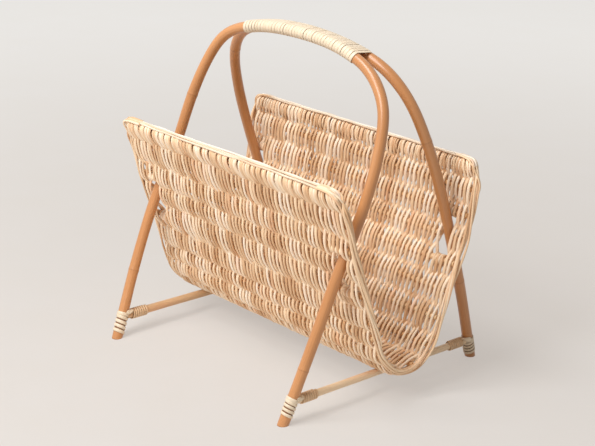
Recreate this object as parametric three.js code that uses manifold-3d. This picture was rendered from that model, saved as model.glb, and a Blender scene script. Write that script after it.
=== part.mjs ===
// Magazine basket: a woven willow trough hung in two bent cane hoops.
// Millimetres, +Z up, floor at z = 0, front panel towards -Y, origin midway between the four feet.

import * as THREE from 'three';
import { mergeVertices } from 'three/addons/utils/BufferGeometryUtils.js';
import Module from 'manifold-3d';

const wasm = await Module();
wasm.setup();

// Driving dimensions of the cane frame
const legSpread = 320; // between the two feet of one hoop
const footDepth = 314; // between the front feet and the rear feet
const hoopHeight = 405; // floor to the middle of the cane at the handle
const caneDiameter = 12;
const canePairGap = 1.5; // between the two canes at the top of the handle
const frontHoopBow = 11; // how far the front legs bend in at half height
const rearHoopBow = 0.5;
const stretcherDiameter = 8.8;
const stretcherHeight = 25; // floor to the middle of a stretcher

// Driving dimensions of the woven trough
const frontRimFlare = 25.2; // from the front legs, where they pass the mat, out to the rib in the rim
const rearRimFlare = 8.3;
const frontEdgeMargin = 16.9; // half the front panel's length is the front legs' reach and this
const rearEdgeMargin = 20.9;
const frontEndShift = -6; // how far the front panel's middle lies off the basket's, along the basket
const rearEndShift = 4.2;
const frontTroughRise = 228.3; // middle of the mat's floor up to the rib in the front rim
const rearTroughRise = 229.9;
const ribDiameter = 7.4;
const ribCount = 18;
const weaverDiameter = 3.1;
const matWaistThickness = 3.8; // where the weavers change sides between two ribs
const cornerInset = 8; // rounding of the mat's upper corners, along the basket
const cornerDrop = 12; // rounding of the mat's upper corners, downwards
const slotWidth = 17; // opening in the mat for one leg
const slotLand = 8; // from a slot's end to the middle of the next rib
const edgeBundleWidth = 9;
const edgeBundleThickness = 10;
const borderBandWidth = 11;
const borderBandThickness = 5;

// Driving dimensions of the bindings and the nails
const handleBindingLength = 214;
const handleStripWidth = 8;
const stripThickness = 1;
const footStripWidth = 3.6;
const footStripPitch = 4.15;
const footWindingStart = 19.5; // below the stretcher's middle, down the leg
const stretcherWindingStart = 10.5; // from the leg's middle, along the stretcher
const nailDiameter = 1.6;
const nailHeadDiameter = 3.4;
const nailHeadHeight = 0.8;
const nailDepth = 16; // how deep a nail goes into the stretcher

// Fits
const seatGap = 0.3; // between pieces that rest on or against each other
const wrapClearance = 0.8; // between a binding's strip and the rod it goes round
const rimGap = 0.5; // between the mat's rim and the border band
const legClearance = 0.6; // round a leg where it passes through the mat
const cutOverrun = 20; // how far a cutting body reaches past what it cuts

// Counts
const caneSides = 12;
const hoopSteps = 76;
const rodSides = 12;
const nailSides = 10;
const bundleSides = 10;
const stepsPerRib = 6;
const rimCapSteps = 4;
const edgeSteps = 44;
const cornerSteps = 4;
const handleLoops = 24;
const handleArcSteps = 6;
const legLoops = 3;
const stretcherLoops = 6;
const footLoopSteps = 12;
const crossingSteps = 6;
const halvings = 40;

// A hoop's outline from the floor to the top: share of the height, then the
// left and the right half width as shares of half the leg spread.
const frontHoopShares = [
  [0, 1, 1],
  [0.2, 1.08, 1.01],
  [0.4, 1.1, 1.03],
  [0.6, 1.03, 1.085],
  [0.74, 1, 1.085],
  [0.86, 0.915, 1.025],
  [0.94, 0.785, 0.83],
  [0.985, 0.475, 0.5],
];
const rearHoopShares = [
  [0, 1, 1],
  [0.2, 1.05, 1.05],
  [0.4, 1.08, 1.08],
  [0.6, 1.085, 1.085],
  [0.74, 1.055, 1.055],
  [0.86, 0.97, 0.97],
  [0.94, 0.79, 0.79],
  [0.985, 0.435, 0.435],
];

// The mat's middle surface, seen along the basket: share of the rim's depth,
// then share of the panel's rise, from the rim down to the floor.
const frontPanelShares = [
  [1, 1],
  [0.925, 0.92],
  [0.85, 0.8],
  [0.78, 0.69],
  [0.68, 0.55],
  [0.575, 0.41],
  [0.465, 0.27],
  [0.38, 0.145],
  [0.25, 0.045],
];
const rearPanelShares = [
  [1, 1],
  [0.965, 0.885],
  [0.925, 0.765],
  [0.855, 0.63],
  [0.75, 0.505],
  [0.64, 0.38],
  [0.535, 0.255],
  [0.42, 0.125],
  [0.27, 0.035],
];

// The ribs aren't evenly spaced: each lies this much further on, as a share of the spacing.
const ribShiftShares = [
  0, 0.1, 0.21, 0.06, 0.15, 0.35, 0.07, -0.08, 0,
  0, 0, 0.1, 0.2, 0.26, 0.22, 0.17, 0.185, 0,
];
const frontCutRib = 3; // the rib that the front legs cut, counted from the front rim
const rearCutRib = ribCount - 1 - frontCutRib;

const caneRadius = caneDiameter / 2;
const stretcherRadius = stretcherDiameter / 2;
const ribRadius = ribDiameter / 2;
const matHalfThickness = ribRadius + seatGap + weaverDiameter;
const pairHalfSpacing = (caneDiameter + canePairGap) / 2;
const slotShare = 0.6; // height of the legs' passage through the mat, as a share of the rise
const handleStartShare = 0.3; // a point of each hoop, by share of its line, below the handle
const bundleClimbShare = 0.45; // how far up the mat's rounded corners an edge bundle goes
const bandStartShare = 0.4; // how far round such a corner the border band's end lies
const loopApartShare = 0.75; // parts of a winding nearer than this share of a loop are one run

const finishes = {
  cane: new THREE.MeshStandardMaterial({ color: 0xc07440, roughness: 0.42, metalness: 0 }),
  willow: new THREE.MeshStandardMaterial({ color: 0xe2bd87, roughness: 0.6, metalness: 0 }),
  rib: new THREE.MeshStandardMaterial({ color: 0xd6b27c, roughness: 0.65, metalness: 0 }),
  strip: new THREE.MeshStandardMaterial({ color: 0xefdcb6, roughness: 0.38, metalness: 0 }),
  rod: new THREE.MeshStandardMaterial({ color: 0xe4c894, roughness: 0.5, metalness: 0 }),
  steel: new THREE.MeshStandardMaterial({ color: 0x8e8b86, roughness: 0.4, metalness: 1 }),
};

// Solids and booleans

function toSolid(geometry) {
  const bare = geometry.clone();
  bare.deleteAttribute('normal');
  bare.deleteAttribute('uv');
  const merged = mergeVertices(bare);
  return new wasm.Manifold(new wasm.Mesh({
    numProp: 3,
    vertProperties: new Float32Array(merged.attributes.position.array),
    triVerts: new Uint32Array(merged.index.array),
  }));
}

function toGeometry(solid) {
  const mesh = solid.getMesh();
  const geometry = new THREE.BufferGeometry();
  geometry.setAttribute('position', new THREE.BufferAttribute(new Float32Array(mesh.vertProperties), 3));
  geometry.setIndex(new THREE.BufferAttribute(new Uint32Array(mesh.triVerts), 1));
  return geometry;
}

function ringPoints(middleX, middleY, radius, sides) {
  const points = [];
  for (let i = 0; i < sides; i += 1) {
    const angle = (i / sides) * Math.PI * 2;
    points.push(new THREE.Vector2(middleX + radius * Math.cos(angle), middleY + radius * Math.sin(angle)));
  }
  return points;
}

// A round rod from one point to another.
function rodGeometry(from, to, radius, sides) {
  const line = new THREE.LineCurve3(from, to);
  return new THREE.ExtrudeGeometry(new THREE.Shape(ringPoints(0, 0, radius, sides)), {
    steps: 1,
    extrudePath: line,
  });
}

// A closed solid whose section, given as [across, out] corners, is carried along a line of
// stations. Each station has a centre and the direction in which the section's top faces.
function sweptGeometry(stations, section) {
  const positions = [];
  const index = [];
  const sides = section.length;
  stations.forEach((station, i) => {
    const before = stations[Math.max(i - 1, 0)].centre;
    const after = stations[Math.min(i + 1, stations.length - 1)].centre;
    const along = after.clone().sub(before).normalize();
    const across = station.out.clone().cross(along).normalize();
    const out = along.clone().cross(across);
    section.forEach(([a, b]) => {
      const corner = station.centre.clone().addScaledVector(across, a).addScaledVector(out, b);
      positions.push(corner.x, corner.y, corner.z);
    });
  });
  for (let i = 0; i + 1 < stations.length; i += 1) {
    for (let j = 0; j < sides; j += 1) {
      const a = i * sides + j;
      const b = i * sides + ((j + 1) % sides);
      index.push(a, b, b + sides, a, b + sides, a + sides);
    }
  }
  const last = (stations.length - 1) * sides;
  for (let j = 1; j + 1 < sides; j += 1) {
    index.push(0, j + 1, j);
    index.push(last, last + j, last + j + 1);
  }
  const geometry = new THREE.BufferGeometry();
  geometry.setAttribute('position', new THREE.Float32BufferAttribute(positions, 3));
  geometry.setIndex(index);
  return geometry;
}

function stripSection(width, thickness) {
  const w = width / 2;
  const t = thickness / 2;
  return [[-w, -t], [w, -t], [w, t], [-w, t]];
}

function ovalSection(width, thickness, sides) {
  return ringPoints(0, 0, 1, sides).map((p) => [(p.x * width) / 2, (p.y * thickness) / 2]);
}

// The smallest distance between two runs of a wound strip.
function leastGap(geometry, cornersPerStation, stationsPerLoop) {
  const p = geometry.attributes.position;
  const apart = cornersPerStation * stationsPerLoop * loopApartShare;
  const a = new THREE.Vector3();
  const b = new THREE.Vector3();
  let least = Infinity;
  for (let i = 0; i < p.count; i += 1) {
    a.fromBufferAttribute(p, i);
    for (let j = i + Math.ceil(apart); j < p.count; j += 1) {
      b.fromBufferAttribute(p, j);
      least = Math.min(least, a.distanceTo(b));
    }
  }
  return least;
}

// The hoops

function hoopPoint(side, bow, heightShare, halfWidth) {
  const lean = (footDepth / 2 - pairHalfSpacing) * (1 - heightShare);
  const bend = bow * 4 * heightShare * (1 - heightShare);
  return new THREE.Vector3(halfWidth, side * (lean - bend + pairHalfSpacing), hoopHeight * heightShare);
}

// The line of a hoop's cane, from the left foot over the handle to the right foot.
// It starts and ends below the floor, where the feet are cut flat.
function hoopCurve(side, bow, shares) {
  const left = shares.map(([t, l]) => hoopPoint(side, bow, t, (-l * legSpread) / 2));
  const right = shares.map(([t, , r]) => hoopPoint(side, bow, t, (r * legSpread) / 2)).reverse();
  const overrunShare = -cutOverrun / hoopHeight;
  const leftEnd = hoopPoint(side, bow, overrunShare, -legSpread / 2);
  const rightEnd = hoopPoint(side, bow, overrunShare, legSpread / 2);
  const top = hoopPoint(side, bow, 1, 0);
  return new THREE.CatmullRomCurve3([leftEnd, ...left, top, ...right, rightEnd]);
}

const frontCurve = hoopCurve(-1, frontHoopBow, frontHoopShares);
const rearCurve = hoopCurve(1, rearHoopBow, rearHoopShares);

function hoopSolid(curve, radius) {
  const shape = new THREE.Shape(ringPoints(0, 0, radius, caneSides));
  return toSolid(new THREE.ExtrudeGeometry(shape, { steps: hoopSteps, extrudePath: curve }));
}

function belowFloorSolid() {
  const size = legSpread + footDepth;
  const box = new THREE.BoxGeometry(size, size, cutOverrun * 4);
  box.translate(0, 0, -cutOverrun * 2);
  return toSolid(box);
}

// The point of one leg's line at a height: side is -1 for the left leg and 1 for the right.
function legPointAt(curve, side, height) {
  let low = 0;
  let high = 0.5;
  for (let i = 0; i < halvings; i += 1) {
    const middle = (low + high) / 2;
    const point = curve.getPoint(side < 0 ? middle : 1 - middle);
    if (point.z < height) low = middle;
    else high = middle;
  }
  return curve.getPoint(side < 0 ? low : 1 - low);
}

// The point of a hoop's arch at a place across the basket.
function archPointAt(curve, x) {
  let low = handleStartShare;
  let high = 1 - handleStartShare;
  for (let i = 0; i < halvings; i += 1) {
    const middle = (low + high) / 2;
    if (curve.getPoint(middle).x < x) low = middle;
    else high = middle;
  }
  return curve.getPoint(low);
}

// The trough is as deep and as long as the legs leave it, where they pass through the mat.
function legAtSlot(curve, side, rise) {
  const slotHeight = stretcherHeight + stretcherRadius + seatGap + matHalfThickness + rise * slotShare;
  return legPointAt(curve, side, slotHeight);
}

function legDepth(curve, rise) {
  return Math.abs(legAtSlot(curve, 1, rise).y);
}

function legReach(curve, rise) {
  return Math.max(...[-1, 1].map((side) => Math.abs(legAtSlot(curve, side, rise).x)));
}

const frontRimDepth = legDepth(frontCurve, frontTroughRise) + frontRimFlare;
const rearRimDepth = legDepth(rearCurve, rearTroughRise) + rearRimFlare;
const frontHalfLength = legReach(frontCurve, frontTroughRise) + frontEdgeMargin;
const rearHalfLength = legReach(rearCurve, rearTroughRise) + rearEdgeMargin;

// The trough's section, in the plane of Y and Z

function sectionCurve() {
  const front = frontPanelShares.map(([d, h]) => new THREE.Vector2(-d * frontRimDepth, h * frontTroughRise));
  const rear = rearPanelShares.map(([d, h]) => new THREE.Vector2(d * rearRimDepth, h * rearTroughRise));
  return new THREE.SplineCurve([...front, new THREE.Vector2(0, 0), ...rear.reverse()]);
}

const midCurve = sectionCurve();

function ribShare(k) {
  return (k + (ribShiftShares[k] ?? 0)) / (ribCount - 1);
}

// The direction out of the mat at a share of its middle line.
function outwardAt(share) {
  const tangent = midCurve.getTangentAt(share);
  return new THREE.Vector2(tangent.y, -tangent.x);
}

// A point beside the mat's middle line: offset is positive on the outside.
function besideMiddle(share, offset) {
  return midCurve.getPointAt(share).addScaledVector(outwardAt(share), offset);
}

// Half the mat's thickness. The weavers swing over one rib and under the next, so it is full over
// each rib and falls to the waist midway between two, where they cross.
function halfThicknessAt(phase) {
  const waist = matWaistThickness / 2;
  const swing = Math.abs(Math.cos(phase * Math.PI));
  return waist + (matHalfThickness - waist) * swing;
}

function rimCap(share, startAngle) {
  const middle = midCurve.getPointAt(share);
  const tangent = midCurve.getTangentAt(share);
  const heading = Math.atan2(tangent.y, tangent.x) + startAngle;
  const points = [];
  for (let i = 1; i < rimCapSteps; i += 1) {
    const angle = heading + (i / rimCapSteps) * Math.PI;
    points.push(new THREE.Vector2(
      middle.x + matHalfThickness * Math.cos(angle),
      middle.y + matHalfThickness * Math.sin(angle),
    ));
  }
  return points;
}

function matOutline() {
  const outside = [];
  const inside = [];
  for (let k = 0; k + 1 < ribCount; k += 1) {
    const steps = k + 2 === ribCount ? stepsPerRib + 1 : stepsPerRib;
    for (let j = 0; j < steps; j += 1) {
      const phase = j / stepsPerRib;
      const share = ribShare(k) + (ribShare(k + 1) - ribShare(k)) * phase;
      outside.push(besideMiddle(share, halfThicknessAt(phase)));
      inside.push(besideMiddle(share, -halfThicknessAt(phase)));
    }
  }
  return [...outside, ...rimCap(1, -Math.PI / 2), ...inside.reverse(), ...rimCap(0, Math.PI / 2)];
}

// The trough is lifted so that its lowest rib row rests on the stretchers.
const unliftedOutline = matOutline();
const lowest = Math.min(...unliftedOutline.map((p) => p.y));
const troughLift = stretcherHeight + stretcherRadius + seatGap - lowest;

// How high the rounded upper corners of the front or the rear panel start.
function cornerHeight(y) {
  const rise = y < 0 ? frontTroughRise : rearTroughRise;
  return troughLift + rise + matHalfThickness - cornerDrop;
}

function lifted(point) {
  return new THREE.Vector2(point.x, point.y + troughLift);
}

function ribMiddle(k) {
  return lifted(midCurve.getPointAt(ribShare(k)));
}

// The x of the mat's end at a point of its section: side is -1 for the left end, 1 for the right.
// The hand-woven panels don't lie quite opposite each other, and their upper corners are rounded.
function matEndAt(y, z, side) {
  const rearShare = (y + frontRimDepth) / (frontRimDepth + rearRimDepth);
  const shift = frontEndShift + (rearEndShift - frontEndShift) * rearShare;
  const halfLength = frontHalfLength + (rearHalfLength - frontHalfLength) * rearShare;
  const climbShare = Math.min(Math.max((z - cornerHeight(y)) / cornerDrop, 0), 1);
  const inset = cornerInset * (1 - Math.sqrt(1 - climbShare * climbShare));
  return shift + side * (halfLength - inset);
}

// Extrudes a shape drawn in Y and Z along X. xAt gives the x of a corner at either end.
function alongBasket(shape, xAt) {
  const geometry = new THREE.ExtrudeGeometry(shape, { depth: 1, steps: 1, bevelEnabled: false });
  const p = geometry.attributes.position;
  for (let i = 0; i < p.count; i += 1) {
    const y = p.getX(i);
    const z = p.getY(i);
    p.setXYZ(i, xAt(y, z, p.getZ(i)), y, z);
  }
  return geometry;
}

// A leg's slot lies between the ribs on either side of the cut rib, and follows the leg's slope.
function slotSolid(curve, side, cutRib) {
  const tangent = midCurve.getTangentAt(ribShare(cutRib));
  const above = ribMiddle(cutRib - 1);
  const below = ribMiddle(cutRib + 1);
  const middle = above.clone().add(below).multiplyScalar(0.5);
  const length = above.distanceTo(below) - slotLand * 2;
  const leg = legPointAt(curve, side, middle.y);
  const higher = legPointAt(curve, side, middle.y + length / 2);
  const lower = legPointAt(curve, side, middle.y - length / 2);
  const rise = tangent.y < 0 ? -1 : 1;
  const up = new THREE.Vector3((higher.x - lower.x) / length, tangent.x * rise, tangent.y * rise).normalize();
  const across = new THREE.Vector3(1, 0, 0).addScaledVector(up, -up.x).normalize();
  const through = across.clone().cross(up);
  const box = new THREE.BoxGeometry(slotWidth, matHalfThickness * 4, length);
  box.applyMatrix4(new THREE.Matrix4().makeBasis(across, through.negate(), up));
  box.translate(leg.x, middle.x, middle.y);
  return toSolid(box);
}

// The x of a cut rib's end at a slot: inner is 1 on the slot's side that faces the middle.
function slotSideAt(curve, side, rib, inner) {
  const leg = legPointAt(curve, side, ribMiddle(rib).y);
  return leg.x - side * inner * (slotWidth / 2);
}

// Sub-parts

const group = new THREE.Group();

function addPiece(name, geometry, finish) {
  const mesh = new THREE.Mesh(geometry, finish);
  mesh.name = name;
  group.add(mesh);
}

function windingStations(centreAt, count) {
  const stations = [];
  for (let i = 0; i <= count; i += 1) stations.push(centreAt(i / count));
  return stations;
}

// Lengthens both ends of a strip in a straight line.
function withStraightEnds(stations, length) {
  const reach = (end, next) => ({
    centre: end.centre.clone().add(end.centre.clone().sub(next.centre).setLength(length)),
    out: end.out.clone(),
  });
  const first = reach(stations[0], stations[1]);
  const last = reach(stations[stations.length - 1], stations[stations.length - 2]);
  return [first, ...stations, last];
}

// One station of the strip round both canes. A loop is a half circle round each cane, and the
// straights between them.
function handleStation(share, step) {
  const x = (share - 0.5) * handleBindingLength;
  const front = archPointAt(frontCurve, x);
  const rear = archPointAt(rearCurve, x);
  const frontAlong = archPointAt(frontCurve, x + caneDiameter).sub(front).normalize();
  const rearAlong = archPointAt(rearCurve, x + caneDiameter).sub(rear).normalize();
  const apart = rear.clone().sub(front).normalize();
  const up = frontAlong.clone().add(rearAlong).cross(apart).normalize();
  const stationsPerCane = handleArcSteps + 1;
  const onRear = step % (stationsPerCane * 2) < stationsPerCane;
  const arcShare = (step % stationsPerCane) / handleArcSteps;
  const angle = Math.PI * (onRear ? 0.5 - arcShare : 1.5 - arcShare);
  const out = apart.clone().multiplyScalar(Math.cos(angle)).addScaledVector(up, Math.sin(angle));
  const along = onRear ? rearAlong : frontAlong;
  out.addScaledVector(along, -out.dot(along)).normalize();
  const radius = caneRadius + wrapClearance + stripThickness / 2;
  const cane = onRear ? rear : front;
  return { centre: cane.clone().addScaledVector(out, radius), out };
}

function handleBinding() {
  const loopSteps = (handleArcSteps + 1) * 2;
  const count = handleLoops * loopSteps - 1;
  const stations = [];
  for (let i = 0; i <= count; i += 1) stations.push(handleStation(i / count, i));
  const section = stripSection(handleStripWidth, stripThickness);
  const geometry = sweptGeometry(withStraightEnds(stations, stripThickness), section);
  console.log('handle_binding least gap', leastGap(geometry, section.length, loopSteps).toFixed(2));
  return geometry;
}

// Where a leg meets its stretcher: the two lines and the directions round them.
function footJoint(curve, otherCurve, side) {
  const middle = legPointAt(curve, side, stretcherHeight);
  const higher = legPointAt(curve, side, stretcherHeight + caneDiameter);
  const up = higher.clone().sub(middle).normalize();
  const along = legPointAt(otherCurve, side, stretcherHeight).sub(middle).normalize();
  const sideways = along.clone().cross(up).normalize();
  if (sideways.x < 0) sideways.negate();
  const towards = along.clone().addScaledVector(up, -along.dot(up)).normalize();
  return { middle, up, along, sideways, towards };
}

// The strip climbs the leg below the stretcher, crosses over at the side and winds on along it.
function footBinding(name, joint) {
  const legRadius = caneRadius + wrapClearance + stripThickness / 2;
  const rodRadius = stretcherRadius + wrapClearance + stripThickness / 2;
  const climb = legLoops * footStripPitch;
  const onLeg = (share) => {
    const angle = share * legLoops * Math.PI * 2;
    const out = joint.sideways.clone().multiplyScalar(Math.cos(angle));
    out.addScaledVector(joint.towards, Math.sin(angle));
    const centre = joint.middle.clone().addScaledVector(joint.up, share * climb - footWindingStart);
    return { centre: centre.addScaledVector(out, legRadius), out };
  };
  const lift = joint.along.clone().cross(joint.sideways).normalize();
  if (lift.z < 0) lift.negate();
  const onRod = (share) => {
    const angle = share * stretcherLoops * Math.PI * 2;
    const out = joint.sideways.clone().multiplyScalar(Math.cos(angle)).addScaledVector(lift, Math.sin(angle));
    const reach = stretcherWindingStart + share * stretcherLoops * footStripPitch;
    const centre = joint.middle.clone().addScaledVector(joint.along, reach);
    return { centre: centre.addScaledVector(out, rodRadius), out };
  };
  const legStations = windingStations(onLeg, legLoops * footLoopSteps);
  const rodStations = windingStations(onRod, stretcherLoops * footLoopSteps);
  const start = legStations[legStations.length - 1].centre;
  const end = rodStations[0].centre;
  const reach = start.distanceTo(end) / 3;
  const crossing = new THREE.CubicBezierCurve3(
    start,
    start.clone().addScaledVector(joint.towards, reach),
    end.clone().addScaledVector(lift, -reach),
    end,
  );
  const crossingStations = [];
  for (let i = 1; i < crossingSteps; i += 1) {
    crossingStations.push({ centre: crossing.getPoint(i / crossingSteps), out: joint.sideways.clone() });
  }
  const stations = withStraightEnds([...legStations, ...crossingStations, ...rodStations], stripThickness);
  const section = stripSection(footStripWidth, stripThickness);
  const geometry = sweptGeometry(stations, section);
  console.log(`${name} least gap`, leastGap(geometry, section.length, footLoopSteps).toFixed(2));
  return geometry;
}

// A nail's profile turned about its axis: shank, then a flat head.
function nailProfileGeometry(joint, extra) {
  const depthBelow = nailDepth + caneRadius;
  const shank = nailDiameter / 2 + extra;
  const head = nailHeadDiameter / 2 + extra;
  const profile = [
    new THREE.Vector2(0, -depthBelow - extra),
    new THREE.Vector2(shank, -depthBelow - extra),
    new THREE.Vector2(shank, caneRadius - nailHeadHeight - extra),
    new THREE.Vector2(head, caneRadius - nailHeadHeight - extra),
    new THREE.Vector2(head, caneRadius + (extra > 0 ? cutOverrun : 0)),
    new THREE.Vector2(0, caneRadius + (extra > 0 ? cutOverrun : 0)),
  ];
  const geometry = new THREE.LatheGeometry(profile, nailSides);
  const turn = new THREE.Quaternion().setFromUnitVectors(new THREE.Vector3(0, 1, 0), joint.along.clone().negate());
  geometry.applyQuaternion(turn);
  geometry.translate(joint.middle.x, joint.middle.y, joint.middle.z);
  return geometry;
}

const sides = [['left', -1], ['right', 1]];
const hoops = [
  { word: 'front', curve: frontCurve, other: rearCurve, cutRib: frontCutRib },
  { word: 'rear', curve: rearCurve, other: frontCurve, cutRib: rearCutRib },
];

// Feet: one joint for each leg, with its nail and its binding
const joints = [];
for (const hoop of hoops) {
  for (const [word, side] of sides) {
    joints.push({ hoop, word, side, joint: footJoint(hoop.curve, hoop.other, side) });
  }
}

// Hoops: cut flat at the floor and drilled for the nails
for (const hoop of hoops) {
  let solid = hoopSolid(hoop.curve, caneRadius).subtract(belowFloorSolid());
  for (const foot of joints.filter((f) => f.hoop === hoop)) {
    solid = solid.subtract(toSolid(nailProfileGeometry(foot.joint, seatGap)));
  }
  addPiece(`${hoop.word}_hoop`, toGeometry(solid), finishes.cane);
}

addPiece('handle_binding', handleBinding(), finishes.strip);

// Stretchers: their ends are hollowed to fit the legs
for (const [word, side] of sides) {
  const ends = joints.filter((f) => f.side === side);
  const rod = rodGeometry(ends[0].joint.middle, ends[1].joint.middle, stretcherRadius, rodSides);
  let solid = toSolid(rod);
  for (const foot of ends) {
    solid = solid.subtract(hoopSolid(foot.hoop.curve, caneRadius + seatGap));
    solid = solid.subtract(toSolid(nailProfileGeometry(foot.joint, seatGap)));
  }
  addPiece(`${word}_stretcher`, toGeometry(solid), finishes.rod);
}

for (const foot of joints) {
  const place = `${foot.hoop.word}_${foot.word}`;
  addPiece(`${place}_foot_nail`, nailProfileGeometry(foot.joint, 0), finishes.steel);
  addPiece(`${place}_foot_binding`, footBinding(`${place}_foot_binding`, foot.joint), finishes.strip);
}

// Ribs: straight rods along the basket, two of them cut where the legs pass
function addRib(name, k, fromX, toX) {
  const { x: y, y: z } = ribMiddle(k);
  const shape = new THREE.Shape(ringPoints(y, z, ribRadius, rodSides));
  addPiece(name, alongBasket(shape, (cornerY, cornerZ, end) => fromX + (toX - fromX) * end), finishes.rib);
}

for (let k = 0; k < ribCount; k += 1) {
  const name = `rib_${String(k + 1).padStart(2, '0')}`;
  const middle = ribMiddle(k);
  const [leftEnd, rightEnd] = [-1, 1].map((side) => matEndAt(middle.x, middle.y + ribRadius, side));
  const hoop = hoops.find((h) => h.cutRib === k);
  if (hoop) {
    addRib(`${name}_left_stub`, k, leftEnd, slotSideAt(hoop.curve, -1, k, -1));
    addRib(name, k, slotSideAt(hoop.curve, -1, k, 1), slotSideAt(hoop.curve, 1, k, 1));
    addRib(`${name}_right_stub`, k, slotSideAt(hoop.curve, 1, k, -1), rightEnd);
  } else {
    addRib(name, k, leftEnd, rightEnd);
  }
}

// Woven mat: one sheet bent into the trough, with a tunnel for each rib and a slot for each leg
function wovenMat() {
  const shape = new THREE.Shape(unliftedOutline.map(lifted));
  for (let k = 0; k < ribCount; k += 1) {
    const { x: y, y: z } = ribMiddle(k);
    shape.holes.push(new THREE.Path(ringPoints(y, z, ribRadius + seatGap, rodSides)));
  }
  let solid = toSolid(alongBasket(shape, (y, z, end) => matEndAt(y, z, end * 2 - 1)));
  for (const hoop of hoops) {
    solid = solid.subtract(hoopSolid(hoop.curve, caneRadius + legClearance));
    for (const [, side] of sides) solid = solid.subtract(slotSolid(hoop.curve, side, hoop.cutRib));
  }
  return toGeometry(solid);
}

addPiece('woven_mat', wovenMat(), finishes.willow);

// The share of the mat's middle line at a height of one panel.
function panelShareAt(rimShare, height) {
  let high = rimShare;
  let low = 0.5;
  for (let i = 0; i < halvings; i += 1) {
    const middle = (low + high) / 2;
    if (lifted(midCurve.getPointAt(middle)).y < height) low = middle;
    else high = middle;
  }
  return low;
}

// Edge bundles: they follow the mat's open ends, down one panel, under and up the other
function edgeBundle(side) {
  const climb = cornerDrop * bundleClimbShare;
  const from = panelShareAt(0, cornerHeight(-1) + climb);
  const to = panelShareAt(1, cornerHeight(1) + climb);
  const stations = [];
  for (let i = 0; i <= edgeSteps; i += 1) {
    const share = from + (to - from) * (i / edgeSteps);
    const { x: y, y: z } = lifted(midCurve.getPointAt(share));
    const { x: outY, y: outZ } = outwardAt(share);
    const end = matEndAt(y, Math.min(z, cornerHeight(y)), side);
    const x = end + side * (seatGap + edgeBundleWidth / 2);
    stations.push({ centre: new THREE.Vector3(x, y, z), out: new THREE.Vector3(0, outY, outZ) });
  }
  return sweptGeometry(stations, ovalSection(edgeBundleWidth, edgeBundleThickness, bundleSides));
}

for (const [word, side] of sides) addPiece(`${word}_edge_bundle`, edgeBundle(side), finishes.willow);

// Border bands: rods laid along the rim and turned down at the mat's rounded corners
function borderBand(panel) {
  const lead = panel < 0 ? 0 : 1;
  const rim = ribMiddle(panel < 0 ? 0 : ribCount - 1);
  const standoff = rimGap + borderBandThickness / 2;
  const cornerZ = cornerHeight(panel);
  const tangent = midCurve.getTangentAt(lead);
  const station = (side, angle) => {
    const cornerX = matEndAt(rim.x, cornerZ, side) - side * cornerInset;
    const z = cornerZ + (cornerDrop + standoff) * Math.sin(angle);
    const below = Math.max(rim.y - z, 0);
    return {
      centre: new THREE.Vector3(
        cornerX + side * (cornerInset + standoff) * Math.cos(angle),
        rim.x - (below * tangent.x) / tangent.y,
        z,
      ),
      out: new THREE.Vector3(side * Math.cos(angle) / cornerInset, 0, Math.sin(angle) / cornerDrop).normalize(),
    };
  };
  const angles = [];
  for (let i = 0; i <= cornerSteps; i += 1) {
    angles.push((bandStartShare + (1 - bandStartShare) * (i / cornerSteps)) * (Math.PI / 2));
  }
  const stations = angles.map((angle) => station(-1, angle));
  stations.push(...angles.reverse().map((angle) => station(1, angle)));
  return sweptGeometry(stations, ovalSection(borderBandWidth, borderBandThickness, rodSides));
}

addPiece('front_border_band', borderBand(-1), finishes.willow);
addPiece('rear_border_band', borderBand(1), finishes.willow);

export default group;
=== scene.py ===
# %% [markdown]
# # A magazine basket of willow and bent cane
# The real basket has two hoops of bent cane. They are lashed side by side at the top, where they make
# the handle, and stand apart at the feet. A trough of thin woven willow rods hangs between them, and two
# stretchers join the feet. Everything here is a rod of some kind, so most of this script lays rods: each
# one is made straight, and then laid along its path.

# %% Load the frame
import math
import random
from collections import namedtuple
from functools import lru_cache

import bmesh
import bpy
import numpy as np
from mathutils import Matrix, Vector


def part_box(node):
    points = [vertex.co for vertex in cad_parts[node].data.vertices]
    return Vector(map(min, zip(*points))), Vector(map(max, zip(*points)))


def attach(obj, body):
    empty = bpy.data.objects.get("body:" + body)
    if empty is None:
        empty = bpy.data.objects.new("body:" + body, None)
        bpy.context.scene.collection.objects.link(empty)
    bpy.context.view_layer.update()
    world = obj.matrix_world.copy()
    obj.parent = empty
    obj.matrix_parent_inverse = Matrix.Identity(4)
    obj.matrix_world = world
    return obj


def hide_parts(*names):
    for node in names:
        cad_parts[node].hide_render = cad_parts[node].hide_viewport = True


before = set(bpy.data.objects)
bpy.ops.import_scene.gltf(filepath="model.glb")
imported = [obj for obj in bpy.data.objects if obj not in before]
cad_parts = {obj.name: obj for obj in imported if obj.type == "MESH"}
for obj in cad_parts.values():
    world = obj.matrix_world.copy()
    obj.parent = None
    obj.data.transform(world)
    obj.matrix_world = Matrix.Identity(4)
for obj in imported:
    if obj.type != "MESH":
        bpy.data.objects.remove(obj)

X, Y, Z = 0, 1, 2
UP = Vector((0, 0, 1))
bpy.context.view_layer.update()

# %% [markdown]
# ## The camera
# The photograph is taken from the front right, a little above the basket, with a long lens. The numbers
# below come from matching the feet, the handle and the corners of the trough with the picture. The lens
# follows from the focal length in pixels and the width of the picture.

# %% Camera
PICTURE_WIDTH = 595
FOCAL_PIXELS = 1569.726
SENSOR_WIDTH = 36.0
CAMERA_AZIMUTH = math.radians(47.564)
CAMERA_ELEVATION = math.radians(18.881)
CAMERA_ROLL = math.radians(1.648)
CAMERA_DISTANCE = 1.928588
CAMERA_SIDESTEP = 0.001521
CAMERA_RISE = -0.014401
CAMERA_TARGET = Vector((0, 0, 0.180))


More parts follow.
